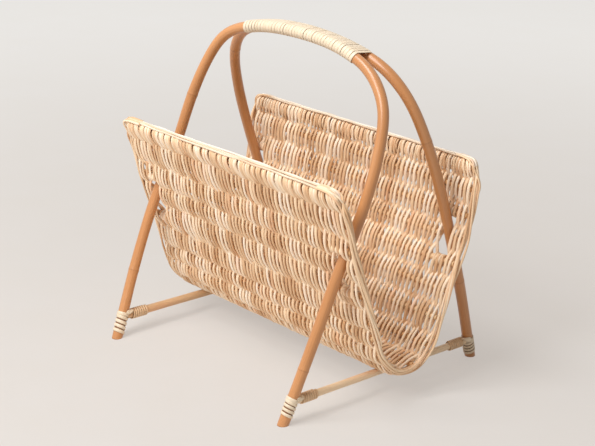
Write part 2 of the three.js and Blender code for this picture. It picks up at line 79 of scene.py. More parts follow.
def make_camera():
    azimuth, elevation, roll = CAMERA_AZIMUTH, CAMERA_ELEVATION, CAMERA_ROLL
    level = Vector((math.cos(azimuth), math.sin(azimuth), 0))
    back = Vector((
        math.sin(azimuth) * math.cos(elevation),
        -math.cos(azimuth) * math.cos(elevation),
        math.sin(elevation),
    ))
    upright = back.cross(level)
    right = level * math.cos(roll) + upright * math.sin(roll)
    up = upright * math.cos(roll) - level * math.sin(roll)
    eye = CAMERA_TARGET + back * CAMERA_DISTANCE + right * CAMERA_SIDESTEP + up * CAMERA_RISE
    data = bpy.data.cameras.new("camera")
    data.sensor_width = SENSOR_WIDTH
    data.lens = FOCAL_PIXELS * SENSOR_WIDTH / PICTURE_WIDTH
    camera = bpy.data.objects.new("camera", data)
    camera.matrix_world = Matrix.Translation(eye) @ Matrix((right, up, back)).transposed().to_4x4()
    bpy.context.scene.collection.objects.link(camera)
    bpy.context.scene.camera = camera
    return camera, level, back


camera, camera_level, camera_back = make_camera()
print("camera at", tuple(camera.location), "lens", camera.data.lens)

# %% [markdown]
# ## Shader maths
# A material is a network of nodes. Writing `mask * 0.5 + 0.2` is easier to read than wiring two Math
# nodes, so one small class wraps a socket and gives it Python's own operators. Any other node comes from
# one method that takes the node's type, its settings and the values of its sockets.

# %% Arithmetic on sockets
class Wire:
    """The output of a shader node, on which arithmetic adds Math nodes."""

    def __init__(self, network, socket):
        self.network = network
        self.socket = socket

    def math(self, operation, first, second):
        return self.network.node("ShaderNodeMath", {"operation": operation}, {0: first, 1: second})

    def __add__(self, other):
        return self.math("ADD", self, other)

    def __radd__(self, other):
        return self.math("ADD", other, self)

    def __sub__(self, other):
        return self.math("SUBTRACT", self, other)

    def __rsub__(self, other):
        return self.math("SUBTRACT", other, self)

    def __mul__(self, other):
        return self.math("MULTIPLY", self, other)

    def __rmul__(self, other):
        return self.math("MULTIPLY", other, self)


def linear(red, green, blue):
    """A colour given as it looks on a screen, from 0 to 255, in the numbers that a shader takes."""
    shares = [value / 255 for value in (red, green, blue)]
    return tuple(s / 12.92 if s <= 0.04045 else ((s + 0.055) / 1.055) ** 2.4 for s in shares) + (1.0,)


print("a screen's middle grey is", linear(128, 128, 128)[0], "to a shader")

# %% Networks of nodes
SEEN_RAYS = ("Is Camera Ray", "Is Glossy Ray", "Is Transmission Ray")


def set_stops(ramp, stops):
    while len(ramp.elements) < len(stops):
        ramp.elements.new(1.0)
    for element, (position, colour) in zip(ramp.elements, stops):
        element.position = position
        element.color = colour


class Network:
    """A tree of nodes."""

    def __init__(self, tree):
        self.tree = tree

    def feed(self, socket, value):
        """Links a wire to a socket, or gives the socket a value of its own."""
        if isinstance(value, Wire):
            self.tree.links.new(value.socket, socket)
        else:
            socket.default_value = value

    def node(self, kind, settings=None, sockets=None, output=0):
        """Adds a node, with its settings first and then its sockets, and returns one of its outputs."""
        node = self.tree.nodes.new(kind)
        for name, value in (settings or {}).items():
            if name == "stops":
                set_stops(node.color_ramp, value)
            else:
                setattr(node, name, value)
        for name, value in (sockets or {}).items():
            self.feed(node.inputs[name], value)
        return Wire(self, node.outputs[output])

    def seen(self):
        """1 for rays that show a thing itself: to the camera, in a reflection or through glass."""
        first, second, third = (self.node("ShaderNodeLightPath", output=ray) for ray in SEEN_RAYS)
        return self.node("ShaderNodeClamp", None, {"Value": first + second + third})


print("networks take light paths from", SEEN_RAYS)

# %% [markdown]
# A finish is the network of one material. It has short names for the nodes that the woods need again and
# again: an attribute of the mesh, noise, a soft step between two values, and a mix of two colours.

# %% A finish is the network of a material
NOISE_ROUGHNESS = 0.55


class Finish(Network):
    """A material under construction."""

    def __init__(self, name):
        self.material = bpy.data.materials.new(name)
        self.material.use_nodes = True
        super().__init__(self.material.node_tree)
        self.surface = self.tree.nodes["Principled BSDF"]

    def attribute(self, name, output):
        return self.node("ShaderNodeAttribute", {"attribute_name": name}, output=output)

    def noise(self, vector, scale, detail=3.0):
        """Noise from 0 to 1. Its scale counts features per metre, one number for each direction."""
        scaled = self.node("ShaderNodeVectorMath", {"operation": "MULTIPLY"}, {0: vector, 1: scale})
        sockets = {"Vector": scaled, "Scale": 1.0, "Detail": detail, "Roughness": NOISE_ROUGHNESS}
        return self.node("ShaderNodeTexNoise", {"noise_dimensions": "3D"}, sockets)

    def between(self, value, low, high):
        """Where value lies between low and high, from 0 to 1, with soft ends."""
        sockets = {"Value": value, "From Min": low, "From Max": high}
        return self.node("ShaderNodeMapRange", {"interpolation_type": "SMOOTHSTEP"}, sockets)

    def mix(self, share, first, second, blend="MIX"):
        """Two colours mixed. A Mix node has its colours on inputs 6 and 7 and the result on output 2."""
        settings = {"data_type": "RGBA", "blend_type": blend, "clamp_factor": True}
        return self.node("ShaderNodeMix", settings, {0: share, 6: first, 7: second}, output=2)

    def give(self, name, value):
        """Feeds a socket of the surface."""
        self.feed(self.surface.inputs[name], value)

    def relief(self, height, depth, strength):
        sockets = {"Height": height, "Distance": depth, "Strength": strength}
        self.give("Normal", self.node("ShaderNodeBump", None, sockets))


print("finishes can give the surface a value or a wire")

# %% [markdown]
# ## The stage
# The basket stands on a plain pale floor. A floor that is only lit grows darker with distance, and the
# one in the picture doesn't. So for the rays that show the floor itself, most of its brightness is its
# own paper colour, and the rest is lit and keeps the shadow. The other rays see it lit as it is.

# %% Floor
FLOOR_HALF = 6.0
FLOOR_ROUGHNESS = 0.9
FLOOR_COLOUR = linear(232, 230, 229)
CLOUD_COLOUR = linear(226, 221, 213)
CLOUD_SCALE = (9.0, 9.0, 9.0)
NEAR_PAPER = linear(216, 209, 203)
FAR_PAPER = linear(255, 253, 250)
PAPER_REACH = (0.2, 2.2)
PAPER_SHARE = 0.67


def floor_finish():
    finish = Finish("floor_paper")
    finish.give("Roughness", FLOOR_ROUGHNESS)
    place = finish.node("ShaderNodeTexCoord", output="Object")
    cloud = finish.noise(place, CLOUD_SCALE, detail=4.0)
    finish.give("Base Color", finish.mix(cloud, FLOOR_COLOUR, CLOUD_COLOUR))
    distance = finish.node("ShaderNodeVectorMath", {"operation": "LENGTH"}, {0: place}, output="Value")
    paper = finish.mix(finish.between(distance, *PAPER_REACH), NEAR_PAPER, FAR_PAPER)
    own = finish.node("ShaderNodeEmission", None, {"Color": paper, "Strength": 1.0})
    lit = Wire(finish, finish.surface.outputs["BSDF"])
    both = finish.node("ShaderNodeMixShader", None, {0: finish.seen() * PAPER_SHARE, 1: lit, 2: own})
    finish.feed(finish.tree.nodes["Material Output"].inputs["Surface"], both)
    return finish


def make_floor():
    plane = bmesh.new()
    bmesh.ops.create_grid(plane, x_segments=1, y_segments=1, size=FLOOR_HALF)
    mesh = bpy.data.meshes.new("floor")
    plane.to_mesh(mesh)
    plane.free()
    floor = bpy.data.objects.new("floor", mesh)
    bpy.context.scene.collection.objects.link(floor)
    mesh.materials.append(floor_finish().material)
    print("floor", tuple(floor.dimensions))


make_floor()

# %% [markdown]
# An even, slightly warm sky fills the shadows as a white studio does. Where the camera or a reflection
# meets the sky itself, it has a brighter grey of its own, close to the far floor.

# %% Sky
SKY_COLOUR = linear(247, 240, 231)
SKY_STRENGTH = 0.38
SEEN_SKY_COLOUR = linear(236, 233, 228)


def make_sky():
    world = bpy.data.worlds.new("studio")
    world.use_nodes = True
    sky = Network(world.node_tree)
    background = sky.tree.nodes["Background"]
    sky.feed(background.inputs["Color"], SKY_COLOUR)
    sky.feed(background.inputs["Strength"], SKY_STRENGTH)
    lighting = Wire(sky, background.outputs["Background"])
    shown = sky.node("ShaderNodeBackground", None, {"Color": SEEN_SKY_COLOUR, "Strength": 1.0})
    both = sky.node("ShaderNodeMixShader", None, {0: sky.seen(), 1: lighting, 2: shown})
    sky.feed(sky.tree.nodes["World Output"].inputs["Surface"], both)
    bpy.context.scene.world = world


make_sky()
bpy.context.scene.view_settings.view_transform = "Standard"
print("sky with", len(bpy.context.scene.world.node_tree.nodes), "nodes")

# %% [markdown]
# One lamp hangs overhead, and a second one stands at the front left. A sun would be simpler, but its
# shadows have hard edges. Wide discs give the soft ones of a studio.

# %% Lamps
KEY_WAY = UP - camera_level * 0.45 + camera_back * 0.15
KEY_DISTANCE = 1.9
KEY_SIZE = 0.75
KEY_POWER = 20.0
FILL_WAY = camera_back - camera_level * 0.9 + UP * 0.9
FILL_DISTANCE = 2.2
FILL_SIZE = 0.9
FILL_POWER = 28.0


def make_lamp(name, direction, distance, size, power):
    data = bpy.data.lights.new(name, "AREA")
    data.shape = "DISK"
    data.size = size
    data.energy = power
    lamp = bpy.data.objects.new(name, data)
    way = direction.normalized()
    lamp.location = CAMERA_TARGET + way * distance
    lamp.rotation_euler = way.to_track_quat("Z", "Y").to_euler()
    bpy.context.scene.collection.objects.link(lamp)
    print(name, "lamp at", tuple(lamp.location))


make_lamp("overhead", KEY_WAY, KEY_DISTANCE, KEY_SIZE, KEY_POWER)
make_lamp("front_left", FILL_WAY, FILL_DISTANCE, FILL_SIZE, FILL_POWER)

# %% [markdown]
# ## Straight rods
# A rod could be a curve with a round bevel, but the strips here are much wider than thick, and a curve
# can't remember its grain. So a rod starts as a cone tool's cylinder of radius 1 and length 1, with extra
# rings along it.

# %% Make a straight rod
GRAIN = "grain"
TONE = "tone"
SHARP_ANGLE = math.radians(60)


@lru_cache(maxsize=None)
def straight_rod(sides, steps):
    rod = bmesh.new()
    rod.verts.layers.float_vector.new(GRAIN)
    rod.verts.layers.float.new(TONE)
    size = {"radius1": 1, "radius2": 1, "depth": 1, "matrix": Matrix.Translation((0, 0, 0.5))}
    bmesh.ops.create_cone(rod, cap_ends=True, segments=sides, **size)
    lengthwise = [edge for edge in rod.edges if abs(edge.verts[0].co.z - edge.verts[1].co.z) > 0.5]
    bmesh.ops.subdivide_edges(rod, edges=lengthwise, cuts=steps - 1)
    mesh = bpy.data.meshes.new("straight_rod")
    rod.to_mesh(mesh)
    rod.free()
    mesh.shade_smooth()
    mesh.set_sharp_from_angle(angle=SHARP_ANGLE)
    return mesh


print("rods carry the attributes", GRAIN, "and", TONE)

# %% [markdown]
# To lay a rod, each of its rings is moved to its station on a path, square to the path's direction. The
# rod remembers where each of its points lay while it was straight, in an attribute called grain. The wood
# grain of the materials reads that attribute, so it follows the rod round every bend. A second attribute,
# tone, makes one rod darker than the next.

# %% Lay a rod along a path
def unit(vectors):
    return vectors / np.linalg.norm(vectors, axis=-1, keepdims=True)


def lengths_along(points):
    """How far along a line each of its points lies."""
    return np.concatenate(([0.0], np.cumsum(np.linalg.norm(np.diff(points, axis=0), axis=1))))


def lay_rod(centres, outs, halves, sides, tone=0.5, grain_start=0.0):
    """Lays a rod along stations.

    outs is where its flat side faces, and halves its half width and half thickness. The rod's grain
    counts from grain_start, which differs from rod to rod, so that no two show the same wood.
    """
    steps = len(centres) - 1
    mesh = straight_rod(sides, steps).copy()
    rest = np.empty(len(mesh.vertices) * 3, np.float32)
    mesh.vertices.foreach_get("co", rest)
    rest = rest.reshape(-1, 3)
    ring = np.rint(rest[:, Z] * steps).astype(int)
    along = unit(np.gradient(centres, axis=0))
    across = unit(np.cross(outs, along))
    out = np.cross(along, across)
    sideways = rest[:, X] * halves[ring, 0]
    outwards = rest[:, Y] * halves[ring, 1]
    placed = centres[ring] + across[ring] * sideways[:, None] + out[ring] * outwards[:, None]
    grain = np.column_stack((sideways, outwards, lengths_along(centres)[ring] + grain_start))
    tones = np.broadcast_to(np.asarray(tone, np.float32), (steps + 1,))
    mesh.vertices.foreach_set("co", placed.astype(np.float32).ravel())
    mesh.attributes[GRAIN].data.foreach_set("vector", grain.astype(np.float32).ravel())
    mesh.attributes[TONE].data.foreach_set("value", tones[ring])
    return mesh


print("two steps of 3 and 4 to a side make a path of", lengths_along([(0, 0), (3, 4), (6, 8)])[-1])

# %% [markdown]
# Many rods make one piece of the basket. Each could be an object of its own, but the frame has one solid
# for them all, and nothing here moves. So their meshes are joined, and the piece stands for that solid.

# %% Join rods to a piece
def make_piece(name, meshes, finish, node):
    """Joins laid rods into one piece, which stands for a node of the frame."""
    whole = bmesh.new()
    for mesh in meshes:
        whole.from_mesh(mesh)
        bpy.data.meshes.remove(mesh)
    joined = bpy.data.meshes.new(name)
    whole.to_mesh(joined)
    whole.free()
    piece = bpy.data.objects.new(name, joined)
    joined.materials.append(finish.material)
    bpy.context.scene.collection.objects.link(piece)
    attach(piece, "root")
    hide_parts(node)
    triangles = sum(len(face.vertices) - 2 for face in joined.polygons)
    print(name, triangles, "triangles")
    return piece


# %% [markdown]
# ## Wood finishes
# Willow rods are cream to tan and no two are alike. Each has fine fibres along it, broad paler and
# browner stretches, and now and then a brown mark where a twig grew. Cane is smoother and reddish brown,
# with long fibres and a soft shine. Each wood adds up its noises, each with its own weight, to one shade,
# and a colour ramp turns that shade into a colour. The third number of a noise's scale runs along the
# rod, so a small one draws the noise out into fibres.

# %% Willow
WILLOW_FIBRES = (1500.0, 1500.0, 30.0)
WILLOW_PATCHES = (60.0, 60.0, 16.0)
WILLOW_MARKS = (90.0, 90.0, 45.0)
WILLOW_BLUSHES = (30.0, 30.0, 9.0)
BLUSH_COLOUR = linear(255, 226, 212)
BLUSH_EDGES = (0.52, 0.7)
BLUSH_SHARE = 0.5
MARK_COLOUR = linear(128, 84, 44)
MARK_EDGES = (0.7, 0.78)
MARK_SHARE = 0.55


def wood_colours(finish, shade, colours, middle=0.5):
    """The colour for a shade from 0 to 1: light, then the middle one at its place, then dark."""
    stops = [(place, linear(*colour)) for place, colour in zip((0.0, middle, 1.0), colours)]
    return finish.node("ShaderNodeValToRGB", {"stops": stops}, {"Fac": shade})


def willow_finish(name, *colours):
    finish = Finish(name)
    grain = finish.attribute(GRAIN, "Vector")
    fibres = finish.noise(grain, WILLOW_FIBRES, detail=2.0)
    patches = finish.noise(grain, WILLOW_PATCHES)
    shade = finish.attribute(TONE, "Fac") * 0.7 + patches * 0.75 + fibres * 0.3 - 0.37
    wood = wood_colours(finish, shade, colours, middle=0.45)
    blush = finish.between(finish.noise(grain, WILLOW_BLUSHES, detail=1.0), *BLUSH_EDGES)
    wood = finish.mix(blush * BLUSH_SHARE, wood, BLUSH_COLOUR, blend="MULTIPLY")
    marks = finish.between(finish.noise(grain, WILLOW_MARKS, detail=1.0), *MARK_EDGES)
    finish.give("Base Color", finish.mix(marks * MARK_SHARE, wood, MARK_COLOUR))
    finish.give("Roughness", fibres * 0.25 + 0.32)
    finish.relief(fibres, depth=0.00025, strength=0.5)
    return finish


WEAVER_FINISH = willow_finish("willow_weaver", (255, 241, 224), (248, 218, 182), (204, 153, 103))
RIB_FINISH = willow_finish("willow_rib", (242, 214, 176), (224, 180, 130), (172, 120, 72))
RIM_FINISH = willow_finish("willow_rim", (250, 240, 228), (240, 222, 200), (210, 174, 134))
ROD_FINISH = willow_finish("willow_stretcher", (246, 222, 190), (232, 200, 162), (204, 160, 116))
print("willow has", len(WEAVER_FINISH.tree.nodes), "nodes")

# %% [markdown]
# On cane, the tone attribute stands for something else: near 1 it is a joint, where the cane is a little
# darker, and above that it is the part under a foot binding, which is painted darker as shade for the
# gaps between the binding's turns. A coat on the shader gives the cane its soft shine.

# %% Cane
CANE_COLOURS = ((225, 167, 116), (197, 136, 84), (164, 104, 54))
CANE_FIBRES = (900.0, 900.0, 7.0)
CANE_PATCHES = (55.0, 55.0, 6.0)
CANE_PORES = (2600.0, 2600.0, 90.0)
PORE_COLOUR = linear(140, 74, 34)
PORE_EDGES = (0.6, 0.75)
PORE_SHARE = 0.25
JOINT_AND_BINDING_SHADE_COLOUR = linear(138, 84, 44)
JOINT_AND_BINDING_SHADE_EDGES = (0.6, 1.0)
JOINT_SHARE = 0.35
# Painted shade: the cane under a foot binding is darkened so that the gaps between the binding's turns
# look shaded.
BINDING_SHADE_COLOUR = linear(92, 58, 32)
BINDING_SHADE_EDGES = (1.2, 2.0)
BINDING_SHADE_SHARE = 0.6
COAT_WEIGHT = 0.35
COAT_ROUGHNESS = 0.28


def cane_finish():
    finish = Finish("cane")
    finish.give("Coat Weight", COAT_WEIGHT)
    finish.give("Coat Roughness", COAT_ROUGHNESS)
    grain = finish.attribute(GRAIN, "Vector")
    fibres = finish.noise(grain, CANE_FIBRES)
    shade = finish.noise(grain, CANE_PATCHES) * 0.9 + fibres * 0.5 - 0.2
    wood = wood_colours(finish, shade, CANE_COLOURS)
    pores = finish.between(finish.noise(grain, CANE_PORES, detail=1.0), *PORE_EDGES)
    wood = finish.mix(pores * PORE_SHARE, wood, PORE_COLOUR)
    tone = finish.attribute(TONE, "Fac")
    # Joints are a little darker. Under a foot binding the tone is 2, so both mixes darken the cane there
    # as painted shade for the gaps between the turns.
    wood = finish.mix(finish.between(tone, *JOINT_AND_BINDING_SHADE_EDGES) * JOINT_SHARE, wood, JOINT_AND_BINDING_SHADE_COLOUR)
    wood = finish.mix(finish.between(tone, *BINDING_SHADE_EDGES) * BINDING_SHADE_SHARE, wood, BINDING_SHADE_COLOUR)
    finish.give("Base Color", wood)
    finish.give("Roughness", fibres * 0.22 + 0.26)
    finish.relief(fibres, depth=0.0002, strength=0.4)
    return finish


CANE_FINISH = cane_finish()
print("cane has", len(CANE_FINISH.tree.nodes), "nodes")

# %% [markdown]
# The strips of the bindings are the cream inner side of split cane. The tone attribute of a strip stands
# for a light brown tint, which the windings on the stretchers have.

# %% Binding strip
STRIP_COLOURS = ((239, 225, 206), (228, 209, 182), (203, 172, 132))
STRIP_FIBRES = (1800.0, 400.0, 14.0)
STRIP_PATCHES = (40.0, 40.0, 22.0)
STRIP_TINT = linear(242, 222, 202)
TINT_EDGES = (0.5, 1.0)


def strip_finish():
    finish = Finish("binding_strip")
    grain = finish.attribute(GRAIN, "Vector")
    fibres = finish.noise(grain, STRIP_FIBRES, detail=2.0)
    shade = finish.noise(grain, STRIP_PATCHES) * 0.8 + fibres * 0.5 - 0.2
    tinted = finish.between(finish.attribute(TONE, "Fac"), *TINT_EDGES)
    wood = wood_colours(finish, shade, STRIP_COLOURS)
    finish.give("Base Color", finish.mix(tinted, wood, STRIP_TINT, blend="MULTIPLY"))
    finish.give("Roughness", fibres * 0.25 + 0.28)
    finish.relief(fibres, depth=0.00015, strength=0.4)
    return finish


STRIP_FINISH = strip_finish()
print("binding strip has", len(STRIP_FINISH.tree.nodes), "nodes")

# %% [markdown]
# ## Reading the trough off the frame
# The weave goes round the ribs, so the ribs of the frame say where it lies. Where a leg passes through
# the mat, a rib is cut, and its two stubs say how far the row reaches.

# %% The rows of ribs
RIB_NAMES = sorted(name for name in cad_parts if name.startswith("rib_") and len(name) == 6)
LAST_ROW = len(RIB_NAMES) - 1
CUT_ROWS = [row for row, name in enumerate(RIB_NAMES) if name + "_left_stub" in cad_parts]
ROW_STEP = 0.01


def span(name, axis):
    """The middle of a node's box along an axis, and half its size there."""
    low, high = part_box(name)
    return (low[axis] + high[axis]) / 2, (high[axis] - low[axis]) / 2


def read_row(row, name):
    """The Y and Z of a rib, and the X of its left and right end."""
    cut = row in CUT_ROWS
    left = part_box(name + "_left_stub" if cut else name)[0].x
    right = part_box(name + "_right_stub" if cut else name)[1].x
    return span(name, Y)[0], span(name, Z)[0], left, right


ROWS = np.array([read_row(row, name) for row, name in enumerate(RIB_NAMES)])
RIB_RADIUS = span(RIB_NAMES[0], Z)[1]
print(len(RIB_NAMES), "rib rows, cut at", CUT_ROWS, "rib radius", RIB_RADIUS)

# %% [markdown]
# The middles of the ribs, from the front rim down under the trough and up to the rear rim, are the points
# of a smooth curve. A place on the mat is then a row number along that curve, a place across the basket,
# and a distance out of the mat. The same numbers could be typed in as a table, but then a change to the
# frame would leave the weave behind.

# %% The mat's middle surface
def through(points, place):
    """A smooth curve through points, read at places counted in points from the first one."""
    place = np.asarray(place, float)
    first = np.clip(np.floor(place).astype(int), 0, len(points) - 2)
    t = (place - first)[:, None]
    ends = np.vstack((2 * points[0] - points[1], points, 2 * points[-1] - points[-2]))
    a, b, c, d = ends[first], ends[first + 1], ends[first + 2], ends[first + 3]
    return b + 0.5 * t * (c - a + t * (2 * a - 5 * b + 4 * c - d + t * (3 * (b - c) + d - a)))


def mat_axes(rows):
    """The mat's middle line at some rows, its direction and the direction out of the mat, in Y and Z."""
    middle = through(ROWS[:, :2], rows)
    ahead = through(ROWS[:, :2], np.clip(rows + ROW_STEP, 0, LAST_ROW))
    behind = through(ROWS[:, :2], np.clip(rows - ROW_STEP, 0, LAST_ROW))
    along = unit(ahead - behind)
    outward = np.column_stack((along[:, 1], -along[:, 0]))
    return middle, along, outward


def mat_points(x, rows, outwards, along_by):
    """Points beside the mat: x across the basket, and distances out of the mat and along its line."""
    middle, along, outward = mat_axes(rows)
    return np.column_stack((x, middle + outward * outwards[:, None] + along * along_by[:, None]))


def row_ends(rows):
    """The X of the mat's left and right end at some rows."""
    return through(ROWS[:, 2:], np.clip(rows, 0, LAST_ROW)).T


def straight_ends(rows):
    """The same without the rounded corners: the ends run in straight lines from front to rear."""
    depth = through(ROWS[:, :1], np.clip(rows, 0, LAST_ROW))[:, 0]
    front, rear = ROWS[1], ROWS[-2]
    share = (depth - front[0]) / (rear[0] - front[0])
    return [front[column] + (rear[column] - front[column]) * share for column in (2, 3)]


print("the mat's ends in its middle row are at", straight_ends(np.array([LAST_ROW / 2])))

# %% [markdown]
# ## The hoops
# A hoop's middle line could be typed in, but it is read off the frame, so the two can't drift apart. A
# half plane swings round the middle of the hoop like the hand of a clock, and the middle of the cut
# through the cane is a point of the line. The line goes on straight through the floor, where the feet are
# cut flat afterwards.

# %% The middle of a cut
def cut_middle(solid, pivot, way):
    """The middle of the cut that a half plane from the pivot makes through a cane."""
    copy = solid.copy()
    normal = way.cross(Vector((0, 1, 0)))
    geometry = copy.verts[:] + copy.edges[:] + copy.faces[:]
    cut = bmesh.ops.bisect_plane(copy, geom=geometry, plane_co=pivot, plane_no=normal)["geom_cut"]
    points = [item.co - pivot for item in cut if isinstance(item, bmesh.types.BMVert)]
    points = [(point.dot(way), point.y) for point in points if point.dot(way) > 0]
    copy.free()
    reach, depth = ((min(values) + max(values)) / 2 for values in zip(*points))
    return pivot + way * reach + Vector((0, depth, 0))


def evened(points, count):
    """The same line with evenly spaced points."""
    lengths = lengths_along(points)
    places = np.linspace(0, lengths[-1], count)
    return np.column_stack([np.interp(places, lengths, points[:, axis]) for axis in (X, Y, Z)])


print("a metre in four even steps", evened(np.array([[0, 0, 0], [1, 0, 0]]), 5)[:, X])

# %% Read the hoops' lines
HOOP_STATIONS = 230
PIVOT_SHARE = 0.45
SWING_STEPS = 110
SWING_START = math.radians(-45)
SWING_END = math.radians(225)
FOOT_OVERRUN = 0.012
SMOOTHING_ROUNDS = 6


def run_out(end, inner):
    """A point below the floor, straight on from the last two points of a hoop's line."""
    slope = (end - inner) / (inner[Z] - end[Z])
    return end + slope * (end[Z] + FOOT_OVERRUN)


def hoop_line(node):
    solid = bmesh.new()
    solid.from_mesh(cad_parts[node].data)
    pivot = Vector((0, 0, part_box(node)[1].z * PIVOT_SHARE))
    swings = np.linspace(SWING_START, SWING_END, SWING_STEPS)
    ways = [Vector((-math.cos(swing), 0, math.sin(swing))) for swing in swings]
    line = np.array([cut_middle(solid, pivot, way) for way in ways])
    solid.free()
    line = np.vstack((run_out(line[0], line[1]), line, run_out(line[-1], line[-2])))
    line = evened(line, HOOP_STATIONS)
    for _ in range(SMOOTHING_ROUNDS):
        line[1:-1] = (line[:-2] + line[1:-1] * 2 + line[2:]) / 4
    return line


HOOP_LINES = {"front": hoop_line("front_hoop"), "rear": hoop_line("rear_hoop")}
for word, line in HOOP_LINES.items():
    print(word, "hoop line", line[0].round(4), line[len(line) // 2].round(4), line[-1].round(4))

# %% [markdown]
# The cane is not perfectly round or even. It swells a little at its joints, where a leaf grew, and each
# joint has a thin darker ring. The joints are rows of stations with a larger radius and a tone near 1.
# The waver of a cane is a sum of sine waves, as that of every rod below is. A wave has a size and a rate,
# in radians per metre or per row of the weave, and starts at another point for each rod.

# %% Waves and the cut at the floor
def ripple(place, *waves):
    """A sum of sine waves along a place. Each wave has its size, its rate and where it starts."""
    return sum(size * np.sin(place * rate + start) for size, rate, start in waves)


def cut_at_floor(mesh):
    cut = bmesh.new()
    cut.from_mesh(mesh)
    everything = cut.verts[:] + cut.edges[:] + cut.faces[:]
    made = bmesh.ops.bisect_plane(cut, geom=everything, plane_no=(0, 0, -1), clear_outer=True)
    rims = [item for item in made["geom_cut"] if isinstance(item, bmesh.types.BMEdge)]
    bmesh.ops.holes_fill(cut, edges=rims)
    cut.to_mesh(mesh)
    cut.free()


print("a wave of size 1 a quarter on is", ripple(math.pi / 2, (1, 1, 0)))

# %% [markdown]
# A binding hides the foot of each leg, from the height where it starts to the one where it ends. Under it
# the cane is painted darker, as shade for the gaps between the binding's turns, which a tone above 1
# stands for. The joints lie where the picture shows them, told as shares of a hoop's length.

# %% Make the hoops
CANE_RADIUS = 0.0066
CANE_SIDES = 24
CANE_WAVER = 0.00005
CANE_WAVE_RATES = (21.0, 47.0, 83.0)
CANE_GRAIN_STEP = 3.0
HOOP_DETAIL = 3
JOINT_SHARES = {"front": (0.09, 0.3, 0.93), "rear": (0.17, 0.35, 0.703, 0.88)}
JOINT_SWELL = 0.0003
JOINT_LENGTH = 0.0019
FOOT_STARTS = {("front", -1): 0.0025, ("front", 1): 0.0070, ("rear", -1): 0.0055, ("rear", 1): 0.0055}
FOOT_TOP = 0.0325
# Under a foot binding the cane gets a high tone, which paints shade into the gaps between the binding's
# turns.
BINDING_SHADE_MARGIN = 0.0035
BINDING_SHADE_TONE = 2.0


def make_hoop(word, seed):
    line = evened(HOOP_LINES[word], HOOP_STATIONS * HOOP_DETAIL)
    length = lengths_along(line)[-1]
    place = np.linspace(0, length, len(line))
    chance = random.Random(seed)
    waves = [(CANE_WAVER, rate, chance.uniform(0, math.tau)) for rate in CANE_WAVE_RATES]
    swell = sum(np.exp(-(((place - share * length) / JOINT_LENGTH) ** 2)) for share in JOINT_SHARES[word])
    radius = CANE_RADIUS + ripple(place, *waves) + swell * JOINT_SWELL
    starts = np.where(line[:, X] < 0, FOOT_STARTS[word, -1], FOOT_STARTS[word, 1])
    # The part under the binding is marked for painted shade, which shows in the gaps between the turns.
    binding_shade = (line[:, Z] > starts + BINDING_SHADE_MARGIN) & (line[:, Z] < FOOT_TOP - BINDING_SHADE_MARGIN)
    tone = np.clip(swell, 0, 1) + binding_shade * BINDING_SHADE_TONE
    halves = np.column_stack((radius, radius))
    mesh = lay_rod(line, (0, 1, 0), halves, CANE_SIDES, tone, grain_start=seed * CANE_GRAIN_STEP)
    piece = make_piece(f"{word}_cane_hoop", [mesh], CANE_FINISH, f"{word}_hoop")
    cut_at_floor(piece.data)


make_hoop("front", 1)
make_hoop("rear", 2)

# %% [markdown]
# ## The handle binding
# One long flat strip is wound round both canes, turn beside turn. To place it, the top of each hoop is
# read where it crosses a given place along the handle.

# %% The tops of the hoops
def line_at(line, axis, value):
    """The point of a line where one of its coordinates, which only grows along it, has a value."""
    return np.array([np.interp(value, line[:, axis], line[:, i]) for i in (X, Y, Z)])


def arch_of(word):
    """The top of a hoop, from left to right."""
    line = HOOP_LINES[word]
    return line[len(line) // 4: -len(line) // 4]


print("over the middle the canes are at", line_at(arch_of("front"), X, 0), line_at(arch_of("rear"), X, 0))

# %% [markdown]
# Between the canes each turn runs straight, and round each cane it follows a half circle. A spin or a
# Screw modifier winds only a circle, so the path is worked out here. It needs only one number that counts
# turns: its whole part says how far along the handle it is, and the rest says how far round. The last few
# turns lie askew.

# %% Where the strip lies
HANDLE_TURNS = 38
HANDLE_LEFT_MARGIN = 0.0235
HANDLE_RIGHT_MARGIN = 0.0095
HANDLE_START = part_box("handle_binding")[0].x + HANDLE_LEFT_MARGIN
HANDLE_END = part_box("handle_binding")[1].x - HANDLE_RIGHT_MARGIN
HANDLE_PITCH = (HANDLE_END - HANDLE_START) / HANDLE_TURNS
HANDLE_END_SKEW = 0.005
SKEW_GROWTH = 4
TURN_STATIONS = 22
STRIP_HALF_THICKNESS = 0.00048
STRIP_LIFT = 0.00012


def handle_station(i, shift):
    """Where the strip lies at its station i, and where its flat side faces."""
    turn = i / TURN_STATIONS
    behind = (1 + math.sin(turn * math.tau)) / 2
    skew = HANDLE_END_SKEW * behind * max((turn / HANDLE_TURNS - 1) * SKEW_GROWTH + 1, 0)
    x = HANDLE_START + (turn + shift) * HANDLE_PITCH - skew
    front, rear = (line_at(arch_of(word), X, x) for word in ("front", "rear"))
    front_way = line_at(arch_of("front"), X, x + CANE_RADIUS) - front
    rear_way = line_at(arch_of("rear"), X, x + CANE_RADIUS) - rear
    apart = unit(rear - front)
    up = unit(np.cross(front_way + rear_way, apart))
    half_turn = TURN_STATIONS // 2
    on_rear = i % TURN_STATIONS < half_turn
    angle = math.pi * (0.5 - (i % half_turn) / (half_turn - 1) + (0 if on_rear else 1))
    out = apart * math.cos(angle) + up * math.sin(angle)
    way = rear_way if on_rear else front_way
    out = unit(out - way * out.dot(way) / way.dot(way))
    return (rear if on_rear else front) + out * (CANE_RADIUS + STRIP_LIFT + STRIP_HALF_THICKNESS), out


print("a turn of the strip takes up", HANDLE_PITCH, "of the handle")

# %% [markdown]
# No two turns are alike: each has its own width and its own shift along the handle, drawn from a bell
# curve. In between, the width and the shift change smoothly.

# %% Wind the handle
TURN_WIDTH = 1.02
TURN_WIDTH_SPREAD = 0.06
TURN_SHIFT_SPREAD = 0.04
STRIP_SIDES = 8
HANDLE_SEED = 5


